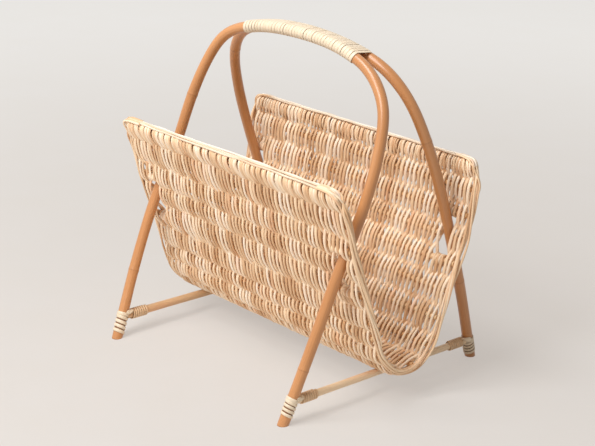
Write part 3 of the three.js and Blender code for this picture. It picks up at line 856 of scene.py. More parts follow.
def wind_handle():
    chance = random.Random(HANDLE_SEED)
    whole_turns = range(HANDLE_TURNS + 2)
    widths = [chance.gauss(TURN_WIDTH, TURN_WIDTH_SPREAD) for _ in whole_turns]
    shifts = [chance.gauss(0, TURN_SHIFT_SPREAD) for _ in whole_turns]
    stations = range(HANDLE_TURNS * TURN_STATIONS + 1)
    turns = np.array(stations) / TURN_STATIONS
    eased_shifts = np.interp(turns, whole_turns, shifts)
    placed = [handle_station(i, shift) for i, shift in zip(stations, eased_shifts)]
    centres, outs = (np.array(part) for part in zip(*placed))
    half_widths = np.interp(turns, whole_turns, widths) * HANDLE_PITCH / 2
    halves = np.column_stack((half_widths, np.full(len(turns), STRIP_HALF_THICKNESS)))
    mesh = lay_rod(centres, outs, halves, STRIP_SIDES)
    make_piece("handle_winding", [mesh], STRIP_FINISH, "handle_binding")


wind_handle()

# %% [markdown]
# ## The stretchers and the foot bindings
# A stretcher is a peeled rod between a front and a rear leg, close to the floor. It thins towards the
# back, bends outwards a little and stops inside the legs. The left one is thicker and darker.

# %% Lay the stretchers
SIDES = (("left", -1), ("right", 1))
STRETCHER_HEIGHT, STRETCHER_RADIUS = span("left_stretcher", Z)
STRETCHER_RADII = {-1: STRETCHER_RADIUS * 1.17, 1: STRETCHER_RADIUS}
STRETCHER_TONES = {-1: 0.9, 1: 0.12}
STRETCHER_STATIONS = 60
STRETCHER_SIDES = 20
STRETCHER_INSET = CANE_RADIUS * 0.9
STRETCHER_BENDS = (0.0002, 0.0006)
STRETCHER_THINNING = 0.06
STRETCHER_GRAIN_STEP = 1.7
STRETCHER_SWELLS = (0.015, 23)
STRETCHER_SEED = 11


def leg_of(word, side):
    """One leg of a hoop, from the floor up."""
    line = HOOP_LINES[word]
    return (line if side < 0 else line[::-1])[: len(line) // 3]


def lay_stretcher(word, side, seed):
    front, rear = (line_at(leg_of(hoop, side), Z, STRETCHER_HEIGHT) for hoop in ("front", "rear"))
    inset = unit(rear - front) * STRETCHER_INSET
    line = evened(np.vstack((front + inset, rear - inset)), STRETCHER_STATIONS)
    place = np.linspace(0, 1, STRETCHER_STATIONS)
    bend = random.Random(seed).uniform(*STRETCHER_BENDS)
    line[:, X] += np.sin(place * math.pi) * bend * side
    unevenness = ripple(place, (*STRETCHER_SWELLS, seed)) - STRETCHER_THINNING * place
    radius = STRETCHER_RADII[side] * (1 + unevenness)
    halves = np.column_stack((radius, radius))
    tone = STRETCHER_TONES[side]
    grain_start = seed * STRETCHER_GRAIN_STEP
    mesh = lay_rod(line, (0, 0, 1), halves, STRETCHER_SIDES, tone, grain_start)
    make_piece(f"{word}_stretcher_rod", [mesh], ROD_FINISH, f"{word}_stretcher")


for number, (word, side) in enumerate(SIDES):
    lay_stretcher(word, side, STRETCHER_SEED + number)

# %% [markdown]
# At each foot a strip is wound up the leg in a few loose turns, closes into a narrow band and crosses
# over to the stretcher, where it winds on. So it ties the two. They don't meet squarely, because the leg
# leans, so the winding first needs the direction of each.

# %% Directions at a foot
Foot = namedtuple("Foot", "middle up along sideways towards rod_up")


def foot_of(word, side):
    """A leg's joint with its stretcher: its middle, and the directions in which the strip winds."""
    leg = leg_of(word, side)
    middle = line_at(leg, Z, STRETCHER_HEIGHT)
    up = unit(line_at(leg, Z, STRETCHER_HEIGHT + CANE_RADIUS) - middle)
    other = leg_of("rear" if word == "front" else "front", side)
    along = unit(line_at(other, Z, STRETCHER_HEIGHT) - middle)
    sideways = unit(np.cross(along, up))
    sideways *= np.sign(sideways[X])
    towards = unit(along - up * along.dot(up))
    rod_up = unit(np.cross(along, sideways))
    rod_up *= np.sign(rod_up[Z])
    return Foot(middle, up, along, sideways, towards, rod_up)


print("the front left joint is at", foot_of("front", -1).middle)

# %% [markdown]
# The winding is one path in three parts: round the leg, across, and round the stretcher. Each part is a
# list of stations, of where these face and of the strip's half widths.

# %% The strip round the leg
LOOSE_TURNS = 4
FOOT_STRIP_HALVES = {
    ("front", -1): 0.0021,
    ("front", 1): 0.0017,
    ("rear", -1): 0.0018,
    ("rear", 1): 0.0018,
}
FOOT_WAVER = (0.0002, 5)
WIDENING_TURNS = 0.5
BAND_TURNS = 1.5
BAND_RISE = 0.0031
BAND_STRIP_HALF = 0.0023
FOOT_TURN_STATIONS = 20


def wound(middle, axis, places, radius, first, second, angles):
    """Stations round an axis: where they lie, and which way is out."""
    outs = first * np.cos(angles)[:, None] + second * np.sin(angles)[:, None]
    return middle + axis * places[:, None] + outs * radius, outs


def strip_round_leg(foot, word, side, seed):
    half = FOOT_STRIP_HALVES[word, side]
    base = (FOOT_STARTS[word, side] + half - STRETCHER_HEIGHT) / foot.up[Z]
    top = (FOOT_TOP - BAND_STRIP_HALF - STRETCHER_HEIGHT) / foot.up[Z]
    pitch = (top - base - BAND_TURNS * BAND_RISE) / LOOSE_TURNS
    turns = np.arange(round((LOOSE_TURNS + BAND_TURNS) * FOOT_TURN_STATIONS) + 1) / FOOT_TURN_STATIONS
    rise = base + np.minimum(turns, LOOSE_TURNS) * pitch + np.maximum(turns - LOOSE_TURNS, 0) * BAND_RISE
    rise += ripple(turns, (*FOOT_WAVER, seed))
    radius = CANE_RADIUS + STRIP_LIFT + STRIP_HALF_THICKNESS
    angles = math.pi + turns * math.tau
    centres, outs = wound(foot.middle, foot.up, rise, radius, foot.sideways, -foot.towards, angles)
    widening = np.clip((turns - LOOSE_TURNS) / WIDENING_TURNS + 1, 0, 1)
    return centres, outs, half + (BAND_STRIP_HALF - half) * widening


print("a leg has", LOOSE_TURNS, "loose turns and", BAND_TURNS, "close ones")

# %% The strip round the stretcher
ROD_START = 0.0125
ROD_TURNS = 7
ROD_PITCH = 0.0033
ROD_STRIP_HALF = 0.0015
ROD_STRIP_WAVER = (0.04, 3)
ROD_STRIP_HALF_THICKNESS = 0.0009


def strip_round_rod(foot, side, seed):
    turns = np.arange(ROD_TURNS * FOOT_TURN_STATIONS + 1) / FOOT_TURN_STATIONS
    radius = STRETCHER_RADII[side] + STRIP_LIFT + ROD_STRIP_HALF_THICKNESS
    places = ROD_START + turns * ROD_PITCH
    angles = turns * math.tau
    centres, outs = wound(foot.middle, foot.along, places, radius, foot.rod_up, -foot.sideways, angles)
    return centres, outs, ROD_STRIP_HALF * (1 + ripple(turns, (*ROD_STRIP_WAVER, seed)))


print("a stretcher has", ROD_TURNS, "turns at each end")

# %% [markdown]
# Where the strip crosses over, it is wider and stands out a little, which makes a pale knob. It leaves
# the leg and meets the stretcher in the directions of the two windings, so there is no kink.

# %% The strip between leg and stretcher
KNOB_SWELL = 0.35
KNOB_LIFT = 0.0007
KNOB_TIGHTNESS = 0.45
CROSSING_STATIONS = 10


def bend_between(start, start_way, end, end_way, shares):
    """A smooth line from one point and direction to another, read at some shares of it."""
    t = shares[:, None]
    first = start + start_way
    second = end - end_way
    near = start * (1 - t) ** 3 + first * 3 * t * (1 - t) ** 2
    return near + second * 3 * t * t * (1 - t) + end * t ** 3


def strip_between(foot, leg, rod):
    shares = np.arange(1, CROSSING_STATIONS + 1) / (CROSSING_STATIONS + 1)
    bulge = np.sin(shares * math.pi)
    start, end = leg[0][-1], rod[0][0]
    reach = np.linalg.norm(end - start) * KNOB_TIGHTNESS
    outs = unit(leg[1][-1] * (1 - shares)[:, None] + foot.rod_up * shares[:, None])
    bridge = bend_between(start, foot.towards * reach, end, -foot.sideways * reach, shares)
    return bridge + outs * (KNOB_LIFT * bulge)[:, None], outs, BAND_STRIP_HALF * (1 + KNOB_SWELL * bulge)


print("the strip crosses over in", CROSSING_STATIONS, "stations")

# %% Wind the feet
ROD_TONE = 1.0
PLAIN_TONE = 0.5
FOOT_GRAIN_STARTS = (3, 9)
FOOT_SEED = 20


def wind_foot(word, side_word, side, seed):
    foot = foot_of(word, side)
    leg = strip_round_leg(foot, word, side, seed)
    rod = strip_round_rod(foot, side, seed)
    parts = leg, strip_between(foot, leg, rod), rod
    centres, outs, widths = (np.concatenate(values) for values in zip(*parts))
    on_rod = np.arange(len(widths)) >= len(widths) - ROD_TURNS * FOOT_TURN_STATIONS
    halves = np.column_stack((widths, np.where(on_rod, ROD_STRIP_HALF_THICKNESS, STRIP_HALF_THICKNESS)))
    tones = np.where(on_rod, ROD_TONE, PLAIN_TONE)
    grain_start = random.Random(seed).uniform(*FOOT_GRAIN_STARTS)
    mesh = lay_rod(centres, outs, halves, STRIP_SIDES, tones, grain_start)
    place = f"{word}_{side_word}_foot"
    make_piece(f"{place}_winding", [mesh], STRIP_FINISH, f"{place}_binding")


for word in ("front", "rear"):
    for side_word, side in SIDES:
        wind_foot(word, side_word, side, FOOT_SEED + len(word) + side)

# %% [markdown]
# ## The nails
# A nail goes through each leg into its stretcher, under the binding. It keeps the frame's own mesh and
# only needs a finish: plain wire, dulled unevenly.

# %% Give the nails their finish
NAIL_CLOUDS = (900.0, 900.0, 900.0)
BRIGHT_WIRE = linear(176, 174, 170)
DULL_WIRE = linear(120, 116, 110)


def wire_finish():
    finish = Finish("nail_wire")
    finish.give("Metallic", 1.0)
    dull = finish.noise(finish.node("ShaderNodeTexCoord", output="Object"), NAIL_CLOUDS)
    finish.give("Base Color", finish.mix(dull, BRIGHT_WIRE, DULL_WIRE))
    finish.give("Roughness", dull * 0.3 + 0.3)
    return finish


NAIL_FINISH = wire_finish()
NAILS = [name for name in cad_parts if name.endswith("_nail")]
for name in NAILS:
    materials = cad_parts[name].data.materials
    materials.clear()
    materials.append(NAIL_FINISH.material)
print("finished", NAILS)

# %% [markdown]
# ## The ribs
# The ribs are straight rods along the trough. The weave hides most of them, but their ends and their
# sides show between the weavers. Each one takes its place and length from its node in the frame.

# %% Lay the ribs
RIB_SIDES = 16
RIB_STATIONS = 24
RIB_WAVER = 0.00025
RIB_WAVE_RATES = (14, 26)
RIB_THINNING = 0.05
RIB_GRAIN_STEP = 0.9
RIB_SWELLS = (0.03, 31)
RIB_END_SHARE = 0.9
RIB_SEED = 100
WAVE_STARTS = (0, 6)


def lay_rib(name, number):
    low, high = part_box(name)
    chance = random.Random(RIB_SEED + number)
    x = np.linspace(low.x, high.x, RIB_STATIONS)
    wander = ripple(x, (RIB_WAVER, chance.uniform(*RIB_WAVE_RATES), chance.uniform(*WAVE_STARTS)))
    line = np.column_stack((x, np.full(len(x), span(name, Y)[0]), span(name, Z)[0] + wander))
    radius = RIB_RADIUS * (1 - RIB_THINNING * chance.random())
    radius = radius * (1 + ripple(x, (*RIB_SWELLS, number)))
    radius[[0, -1]] *= RIB_END_SHARE
    halves = np.column_stack((radius, radius))
    tone = chance.random()
    mesh = lay_rod(line, (0, 0, 1), halves, RIB_SIDES, tone, grain_start=number * RIB_GRAIN_STEP)
    make_piece(f"{name}_rod", [mesh], RIB_FINISH, name)


for number, name in enumerate(sorted(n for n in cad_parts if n.startswith("rib_"))):
    lay_rib(name, number)

# %% [markdown]
# ## The weave
# More than a hundred thin rods run side by side from rim to rim. Each goes over one rib and under the
# next, and its neighbour does the opposite, so a weaver's distance from the mat's middle is a cosine of
# its row. At a rim it turns round the rib there and ends beside its neighbours on the other side. Where
# a leg passes through the mat, the weavers in its way turn round the ribs above and below it. A bump
# pattern on a sheet would cost less, but it would show no gaps and no rod ends, and its rim would be
# flat, so every weaver is a rod of its own.

# %% Where each weaver lies
WEAVER_COUNT = 116
WEAVER_RADIUS = 0.00155
REACH = RIB_RADIUS + WEAVER_RADIUS
GAP_SPREAD = 0.1
GROUP_SIZES = {"front": (2, 3, 3, 4, 4, 5), "rear": (1, 2, 2, 2, 3)}
WEAVE_SEED = 41
weave_chance = random.Random(WEAVE_SEED)


def weaver_shares():
    """Places of the weavers across the basket, from -1 to 1, with uneven gaps."""
    gaps = [weave_chance.gauss(1.0, GAP_SPREAD) for _ in range(WEAVER_COUNT - 1)]
    places = np.concatenate(([0.0], np.cumsum(gaps)))
    return places / places[-1] * 2 - 1


def rim_groups(sizes):
    """Where each weaver leans to at a rim: the middle of its own small group."""
    middles = np.zeros(WEAVER_COUNT)
    first = 0
    while first < WEAVER_COUNT:
        last = min(first + weave_chance.choice(sizes), WEAVER_COUNT)
        middles[first:last] = (first + last - 1) / 2
        first = last
    return middles


SHARES = weaver_shares()
RIM_GROUPS = {word: rim_groups(sizes) for word, sizes in GROUP_SIZES.items()}
for word, groups in RIM_GROUPS.items():
    print(WEAVER_COUNT, "weavers in", len(set(groups)), "groups at the", word, "rim")

# %% [markdown]
# Where a leg passes through the mat, the rib there is cut, and the gap between its middle rod and a stub
# is a slot. The frame says where the slots lie.

# %% Where the legs pass through the mat
def find_slots():
    """For each leg: the cut row, and from where to where across the basket the mat is open."""
    slots = []
    for row in CUT_ROWS:
        name = RIB_NAMES[row]
        low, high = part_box(name)
        slots.append((row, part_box(name + "_left_stub")[1].x, low.x))
        slots.append((row, high.x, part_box(name + "_right_stub")[0].x))
    return slots


SLOTS = find_slots()
for row, left, right in SLOTS:
    print("slot at row", row, "from", round(left, 4), "to", round(right, 4))

# %% [markdown]
# The path of a weaver is a list of stations. Each has a row, a place across the basket, a distance out of
# the mat and, round a rim, a distance past the last rib. The middle part and the two turns are made
# apart and joined. First comes the turn: a short tail, and then a half circle round the rib.

# %% The turn of a weaver round a rib
TURN_STEPS = 8
TAIL_STEPS = 7
FRONT_TAIL_ROWS = 0.52
REAR_TAIL_ROWS = 0.36
SLOT_TAIL_ROWS = 0.2
TAIL_SWING = 0.46
RIM_RISE = 0.0084


def end_turn(row, side, direction, height):
    """Stations of a turn, tail first: row, out, past the rib, and the angle at which it faces."""
    tail = np.linspace(1, 0, TAIL_STEPS, endpoint=False)
    length = {0: FRONT_TAIL_ROWS, LAST_ROW: REAR_TAIL_ROWS}.get(row, SLOT_TAIL_ROWS)
    rise = RIM_RISE * height if row in (0, LAST_ROW) else REACH
    tail_rows = row + direction * length * tail
    tail_out = -side * REACH * np.cos(tail * math.pi * TAIL_SWING)
    angle = np.linspace(math.pi, 0, TURN_STEPS, endpoint=False)
    rows = np.concatenate((tail_rows, np.full(TURN_STEPS, float(row))))
    outs = np.concatenate((tail_out, side * REACH * np.cos(angle)))
    past = np.concatenate((np.zeros(TAIL_STEPS), -direction * rise * np.sin(angle)))
    facing = np.concatenate((np.full(TAIL_STEPS, math.pi), angle))
    return rows, outs, past, facing


print("a turn has", TAIL_STEPS + TURN_STEPS, "stations")

# %% [markdown]
# The panels have rounded corners, and not all the same ones. The outermost weavers follow them, so the
# next cell says how far the mat's end lies inside its straight line.

# %% The rounded corners
CORNER_INSETS = {("front", -1): 0.0005, ("front", 1): 0.0035, ("rear", -1): 0.002, ("rear", 1): 0.0055}
CORNER_ROUNDNESS = {("front", -1): 0.2, ("front", 1): 1.0, ("rear", -1): 0.6, ("rear", 1): 1.0}


def smooth_share(value, low, high):
    t = np.clip((value - low) / (high - low), 0, 1)
    return t * t * (3 - 2 * t)


def place_across(share, rows):
    """The X of a place between the mat's two ends, from -1 at the left to 1 at the right."""
    left, right = straight_ends(rows)
    return (left + right) / 2 + share * ((right - left) / 2 - WEAVER_RADIUS)


def corner_inset(side, rows, past):
    """How far the mat's end lies inside its straight line at some rows, on one side."""
    words = np.where(rows < LAST_ROW / 2, "front", "rear")
    end = 1 if side > 0 else 0
    inset = np.maximum(side * (straight_ends(rows)[end] - row_ends(rows)[end]), 0)
    roundness = np.array([CORNER_ROUNDNESS[word, side] for word in words])
    top_inset = np.array([CORNER_INSETS[word, side] for word in words])
    return inset * roundness + top_inset * (past / RIM_RISE) ** 2


print("the front right corner lies in by", corner_inset(1, np.zeros(1), np.full(1, RIM_RISE)))

# %% [markdown]
# Across the basket the weavers keep their order, but they aren't straight. Neighbours lean sideways
# together in slow waves, each strand has small waves of its own, and near a rim the strands are pulled
# together in small groups.

# %% Where a weaver lies across the basket
CORNER_START = 0.88
GROUP_PULL = {"front": 0.28, "rear": 0.3}
DRIFT_WAVES = (
    # size, rate along the rows, rate across the basket, start
    (0.0006, 0.55, 7.0, 0.4),
    (0.0005, 0.9, -13.0, 2.1),
    (0.00035, 1.7, 29.0, 4.0),
)
STRAND_WAVES = (
    # size, rate along the rows
    (0.00024, 1.9),
    (0.0002, 3.3),
    (0.00014, 5.3),
)


def weaver_x(index, rows, past, phases):
    share = SHARES[index]
    side = 1 if share > 0 else -1
    drift = [(size, along, share * across + start) for size, along, across, start in DRIFT_WAVES]
    own = [(size, rate, phase) for (size, rate), phase in zip(STRAND_WAVES, phases)]
    x = place_across(share, rows) + ripple(rows, *drift, *own)
    left, right = straight_ends(rows)
    pitch = (right - left) / WEAVER_COUNT
    nearness = {"front": np.clip(1 - rows, 0, 1), "rear": np.clip(rows - LAST_ROW + 1, 0, 1)}
    for word, near in nearness.items():
        x = x + (RIM_GROUPS[word][index] - index) * pitch * GROUP_PULL[word] * near ** 2
    return x - side * corner_inset(side, rows, past) * smooth_share(abs(share), CORNER_START, 1.0)


print("weavers past", CORNER_START, "of the half length follow the corners")

# %% [markdown]
# In and out of the mat, a weaver swings like a cosine. Two small changes keep it from looking drawn by a
# machine: the strands cross nearer one rib than the other, and the place of each crossing wavers. The
# rear panel is woven a little flatter.

# %% How a weaver swings in and out
CROSSING_LEAN = 0.065
CROSSING_OVERLAP = 0.08
SWING_WAVER = (0.065, 2.4)
REAR_FLATNESS = 0.1
FLATTER_FROM = 0.55
FLAT_FROM = 0.7


def swing(rows, side):
    """The rows as a phase in half turns.

    The weavers cross nearer the rib with the lower number. Neighbours don't cross in one line: on the
    front panel both are outside for a moment, and on the rear panel both are inside.
    """
    whole = np.floor(rows)
    outside = side * np.cos(whole * math.pi)
    panel = np.clip(rows / LAST_ROW * 4 - 2, -1, 1)  # -1 on the front panel, 1 on the rear one
    return rows + (CROSSING_LEAN + CROSSING_OVERLAP * outside * panel) * np.sin((rows - whole) * math.pi)


def main_swing(rows, side, phase):
    """How far out of the mat a weaver lies between its two turns."""
    waver = ripple(rows, (*SWING_WAVER, phase * 3)) * np.sin(rows * math.pi) ** 2
    flattened = 1 - REAR_FLATNESS * smooth_share(rows / LAST_ROW, FLATTER_FROM, FLAT_FROM)
    return side * REACH * np.cos((swing(rows, side) + waver) * math.pi) * flattened


print("at the front rim and half a row on a weaver lies at", main_swing(np.array([0, 0.5]), 1, 0.0))

# %% [markdown]
# Now the turns and the middle part are joined to one path. A station also says where the flat side of the
# weaver faces, which swings round with each turn.

# %% The path of one weaver
STEPS_PER_ROW = 10
RIM_UNEVENNESS = 0.08


def weaver_stations(index, first_row, last_row, phase):
    """Rows, distances out and past the rim, where each station faces, and 1 between the turns."""
    side = 1 if index % 2 == 0 else -1
    start_side = side if first_row % 2 == 0 else -side
    end_side = side if last_row % 2 == 0 else -side
    height = 1 + RIM_UNEVENNESS * math.sin(phase * 5 + index)
    between_rows = np.linspace(first_row, last_row, (last_row - first_row) * STEPS_PER_ROW + 1)
    none = np.zeros(len(between_rows))
    parts = (
        end_turn(first_row, start_side, 1, height),
        (between_rows, main_swing(between_rows, side, phase), none, none),
        [values[::-1] for values in end_turn(last_row, end_side, -1, height)],
    )
    rows, outs, past, turned = (np.concatenate(values) for values in zip(*parts))
    lengths = [len(part[0]) for part in parts]
    free = np.repeat((0.0, 1.0, 0.0), lengths)
    lean = np.repeat((-1.0, 0.0, start_side * end_side), lengths) * np.sin(turned)
    _, along, outward = mat_axes(rows)
    facing = outward * (start_side * np.cos(turned))[:, None] + along * lean[:, None]
    return rows, outs, past, np.column_stack((np.zeros(len(rows)), facing)), free


print("a weaver from rim to rim has", len(weaver_stations(0, 0, LAST_ROW, 0.0)[0]), "stations")

# %% [markdown]
# A weaver that comes too close to a leg is pushed aside by it, as on the real basket. The distance to the
# leg's line says how far.

# %% Keep clear of the legs
LEG_STATIONS = 700
LEG_LINES = np.vstack([evened(line, LEG_STATIONS) for line in HOOP_LINES.values()])
SMALLEST_GAP = 1e-6


def pushed_off_legs(points, radius):
    need = CANE_RADIUS + radius + STRIP_LIFT
    gaps = np.linalg.norm(points[:, None, :] - LEG_LINES[None, :, :], axis=2)
    nearest = gaps.argmin(axis=1)
    distance = gaps[np.arange(len(points)), nearest]
    away = (points - LEG_LINES[nearest]) / np.maximum(distance, SMALLEST_GAP)[:, None]
    return points + away * np.clip(need - distance, 0, None)[:, None]


print(len(LEG_LINES), "points on the hoops to keep clear of")

# %% [markdown]
# A weaver that would run into a leg stops short of it: it turns round the rib before the slot, and a
# second rod goes on from the rib behind it.

# %% From where to where a weaver runs
SLOT_MARGIN = WEAVER_RADIUS * 0.3


def weaver_runs(index):
    """From which row to which row a weaver goes: one run, or more where a leg is in its way."""
    stops = [0, LAST_ROW]
    for row, left, right in SLOTS:
        x = place_across(SHARES[index], np.array([float(row)]))[0]
        if left - SLOT_MARGIN < x < right + SLOT_MARGIN:
            stops += [row - 1, row + 1]
    stops.sort()
    return list(zip(stops[::2], stops[1::2]))


print(sum(len(weaver_runs(index)) for index in range(WEAVER_COUNT)), "runs of", WEAVER_COUNT, "weavers")

# %% [markdown]
# Each weaver has its own thickness, tone and flatness. It is widest where it crosses between two ribs,
# and wider on the rear panel than on the front one. At a rim it is squeezed by its neighbours.

# %% How wide a weaver is
WEAVER_WIDTH = 1.1
REAR_WIDENING = 0.12
CROSSING_WIDTH = 0.16
RIM_NARROWING = {"front": -0.03, "rear": 0.25}
RIM_NEAR_ROWS = 0.6


def weaver_widths(rows, outs, free):
    """How many times as wide as thick a weaver is along its stations, but for its own flatness."""
    squeeze = 1 + CROSSING_WIDTH * (1 - (outs / REACH) ** 2) * free
    near_rim = np.clip(1 - np.minimum(rows, LAST_ROW - rows) / RIM_NEAR_ROWS, 0, 1)
    narrowing = np.where(rows < LAST_ROW / 2, RIM_NARROWING["front"], RIM_NARROWING["rear"])
    tight = 1 - narrowing * np.maximum(near_rim, 1 - free)
    width = WEAVER_WIDTH + REAR_WIDENING * np.clip(rows / LAST_ROW * 2 - 1, 0, 1) * free
    return squeeze * tight * width


print("a weaver between two ribs is widened", weaver_widths(np.full(1, 4.5), np.zeros(1), 1.0), "times")

# %% Lay the weavers
WEAVER_SIDES = 10
THICKNESS_SPREAD = 0.1
FLATNESSES = (1.0, 1.0, 1.0, 1.04, 1.04, 1.1, 1.2)
WEAVER_SWELLS = (0.05, 1.3)
WEAVER_GRAIN_STEP = 1.3
WEAVE_PARTS = ("left", "middle", "right")


def lay_weaver(index):
    first, second, third, fourth = [weave_chance.uniform(0, math.tau) for _ in range(4)]
    thickness = WEAVER_RADIUS * weave_chance.gauss(1.0, THICKNESS_SPREAD)
    flatness = weave_chance.choice(FLATNESSES)
    tone = weave_chance.random()
    meshes = []
    for first_row, last_row in weaver_runs(index):
        rows, outs, past, facing, free = weaver_stations(index, first_row, last_row, fourth)
        x = weaver_x(index, rows, past, (first, second, third * 2))
        centres = pushed_off_legs(mat_points(x, rows, outs, past), WEAVER_RADIUS)
        radius = thickness * (1 + ripple(rows, (*WEAVER_SWELLS, third)))
        width = radius * flatness * weaver_widths(rows, outs, free)
        halves = np.column_stack((width, radius / flatness))
        grain_start = index * WEAVER_GRAIN_STEP + first_row
        meshes.append(lay_rod(centres, facing, halves, WEAVER_SIDES, tone, grain_start))
    return meshes


weave = {word: [] for word in WEAVE_PARTS}
for index in range(WEAVER_COUNT):
    weave[WEAVE_PARTS[index * len(WEAVE_PARTS) // WEAVER_COUNT]] += lay_weaver(index)
for word, meshes in weave.items():
    make_piece(f"weave_{word}", meshes, WEAVER_FINISH, "woven_mat")

# %% [markdown]
# ## The edges and the rims
# A few longer rods finish the trough. Some follow its open ends in a loose bundle, down one panel, under
# the floor and up the other, crossing each other now and then, and turn in along the rim at the corners.
# The frame has one plain solid for each bundle, which stands for them all. Here each rod is a smooth
# curve through a few points, told in the mat's own terms: beyond its end, row, out of it and past the
# last rib.

# %% The path of an edge rod
EDGE_RODS = 7
EDGE_MIDDLE = 0.0048
EDGE_SPREAD = 0.0031
EDGE_DEPTH = 0.0032
EDGE_WAVER = 0.0008
EDGE_FAN = 0.0015
EDGE_NEST = 0.0022
GOLDEN_ANGLE = 2.4
CORNER_ROWS = 0.35
POINT_ROWS = 0.5
RIM_ROWS = {"front": (0.0, -1.0), "rear": (float(LAST_ROW), 1.0)}
EDGE_CORNER = (
    # beyond the mat's end, shares of the corner's inset, of the nest and of the fan, past the rib
    (0.0036, 1.2, 1.0, 1.0, 0.0035),
    (-0.0004, 2.2, 1.0, 1.0, 0.0092),
    (-0.0120, 2.0, 0.0, 0.9, 0.0108),
    (-0.0300, 0.0, 0.0, 0.8, 0.0106),
)


def edge_corner(word, side, number):
    """The points by which an edge rod turns from the open end onto the rim."""
    row, direction = RIM_ROWS[word]
    inset = CORNER_INSETS[word, side]
    nest = EDGE_NEST * math.sin(number * GOLDEN_ANGLE + side)
    fan = (number - (EDGE_RODS - 1) / 2) * EDGE_FAN
    return [
        (beyond - inset * by_inset + nest * by_nest, row, fan * by_fan, direction * past)
        for beyond, by_inset, by_nest, by_fan, past in EDGE_CORNER
    ]


def edge_middle(number, rate, waver_rate):
    """The points of an edge rod between its corners, on a slow spiral round the bundle's middle."""
    phase = number / EDGE_RODS * math.tau
    points = []
    for row in np.arange(CORNER_ROWS, LAST_ROW - CORNER_ROWS, POINT_ROWS):
        across = EDGE_SPREAD * math.sin(row * rate + phase)
        across += EDGE_WAVER * math.sin(row * waver_rate + number)
        points.append((EDGE_MIDDLE + across, row, EDGE_DEPTH * math.cos(row * rate + phase), 0.0))
    return points


print("an edge rod follows", 2 * len(EDGE_CORNER) + len(edge_middle(0, 1.0, 1.0)), "points")

# %% [markdown]
# The rods of a bundle are alike but for chance: each has its own spiral, waver, thickness and tone.

# %% Lay the edge bundles
EDGE_ROD_RADIUS = 0.00135
EDGE_FLATNESS = 0.92
EDGE_STEPS = 300
EDGE_SPIRAL_RATES = (0.5, 1.1)
EDGE_WAVER_RATES = (1.1, 2.2)
EDGE_THICKNESSES = (0.9, 1.08)
EDGE_SWELLS = (0.05, 2.1)
EDGE_TONES = (0.25, 1.0)
EDGE_GRAIN_STEP = 2.1
EDGE_LEAN = 0.3
EDGE_SEED = 300


def lay_edge_rod(side, number):
    chance = random.Random(EDGE_SEED + number * EDGE_RODS + side)
    middle = edge_middle(number, chance.uniform(*EDGE_SPIRAL_RATES), chance.uniform(*EDGE_WAVER_RATES))
    start, end = edge_corner("front", side, number)[::-1], edge_corner("rear", side, number)
    controls = np.array(start + middle + end)
    beyond, rows, outs_by, past = through(controls, np.linspace(0, len(controls) - 1, EDGE_STEPS)).T
    rows = np.clip(rows, 0, LAST_ROW)
    x = straight_ends(rows)[1 if side > 0 else 0] + side * beyond
    centres = pushed_off_legs(mat_points(x, rows, outs_by, past), EDGE_ROD_RADIUS)
    outs = np.column_stack((np.full(len(rows), EDGE_LEAN * side), mat_axes(rows)[2]))
    radius = EDGE_ROD_RADIUS * chance.uniform(*EDGE_THICKNESSES)
    radius = radius * (1 + ripple(rows, (*EDGE_SWELLS, number)))
    halves = np.column_stack((radius, radius * EDGE_FLATNESS))
    tone = chance.uniform(*EDGE_TONES)
    grain_start = number * EDGE_GRAIN_STEP + side
    return lay_rod(centres, outs, halves, WEAVER_SIDES, tone, grain_start)


for word, side in SIDES:
    meshes = [lay_edge_rod(side, number) for number in range(EDGE_RODS)]
    make_piece(f"{word}_edge_rods", meshes, WEAVER_FINISH, f"{word}_edge_bundle")

# %% [markdown]
# Three thin peeled rods lie along the top of each rim, over the turns of the weavers. They fall away at
# the corners, where they go into the edge bundles.

# %% How high a band rod lies
BAND_ROD_RADIUS = 0.0013
BAND_NEST = 0.8
BAND_FALL = 0.009
BAND_FALL_START = 0.012
BAND_STEEPNESS = 0.98
BAND_HEIGHT_WAVES = ((0.0003, 40), (0.00025, 130))


def band_height(x, reach, chance):
    """How far past the last rib a band rod lies. It falls away in a quarter circle at its ends."""
    fall = np.clip((np.abs(x) - (reach - BAND_FALL_START)) / BAND_FALL, 0, 1)
    height = RIM_RISE + WEAVER_RADIUS + BAND_ROD_RADIUS * BAND_NEST
    waves = [(*wave, chance.uniform(*WAVE_STARTS)) for wave in BAND_HEIGHT_WAVES]
    return height - BAND_FALL * (1 - np.sqrt(1 - fall ** 2 * BAND_STEEPNESS)) + ripple(x, *waves)


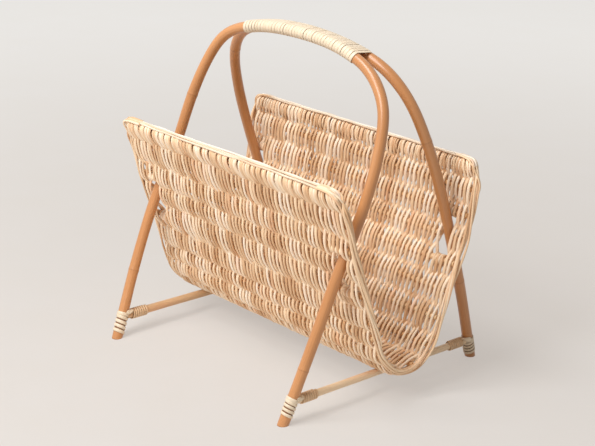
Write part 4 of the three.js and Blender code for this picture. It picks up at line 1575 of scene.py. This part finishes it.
print("a rim is built up past its last rib by", RIM_RISE + WEAVER_RADIUS + BAND_ROD_RADIUS * BAND_NEST)

# %% Lay the border bands
BAND_RODS = 3
BAND_WIDTH = 1.05
BAND_FLATNESS = 0.9
BAND_PITCH = 0.0027
BAND_CROWN = 0.3
BAND_INWARD = 0.0008
BAND_STEPS = 190
BAND_MARGIN = 0.003
BAND_SLOW_WAVE = 0.0006
BAND_SLOW_RATES = (15, 30)
BAND_FAST_WAVE = 0.0003
BAND_FAST_RATES = (90, 150)
BAND_THICKNESSES = (0.92, 1.06)
BAND_SWELLS = (0.05, 37)
BAND_GRAIN_STEP = 1.9
BAND_SEED = 500


def lay_band_rod(word, number):
    row, direction = RIM_ROWS[word]
    middle, reach = span(f"{word}_border_band", X)
    chance = random.Random(BAND_SEED + number + len(word))
    spread = (number - (BAND_RODS - 1) / 2) * BAND_PITCH
    x = np.linspace(-reach + BAND_MARGIN, reach - BAND_MARGIN, BAND_STEPS)
    past = band_height(x, reach, chance) - abs(spread) * BAND_CROWN
    slow = (BAND_SLOW_WAVE, chance.uniform(*BAND_SLOW_RATES), chance.uniform(*WAVE_STARTS))
    fast = (BAND_FAST_WAVE, chance.uniform(*BAND_FAST_RATES), chance.uniform(*WAVE_STARTS))
    outs_by = spread - BAND_INWARD + ripple(x, slow, fast)
    rows = np.full(len(x), row)
    centres = mat_points(x + middle, rows, outs_by, direction * past)
    outs = np.column_stack((np.zeros(len(x)), mat_axes(rows)[1] * direction))
    radius = BAND_ROD_RADIUS * chance.uniform(*BAND_THICKNESSES)
    radius = radius * (1 + ripple(x, (*BAND_SWELLS, number)))
    halves = np.column_stack((radius * BAND_WIDTH, radius * BAND_FLATNESS))
    tone = chance.random()
    return lay_rod(centres, outs, halves, WEAVER_SIDES, tone, grain_start=number * BAND_GRAIN_STEP)


for word in ("front", "rear"):
    meshes = [lay_band_rod(word, number) for number in range(BAND_RODS)]
    make_piece(f"{word}_rim_rods", meshes, RIM_FINISH, f"{word}_border_band")
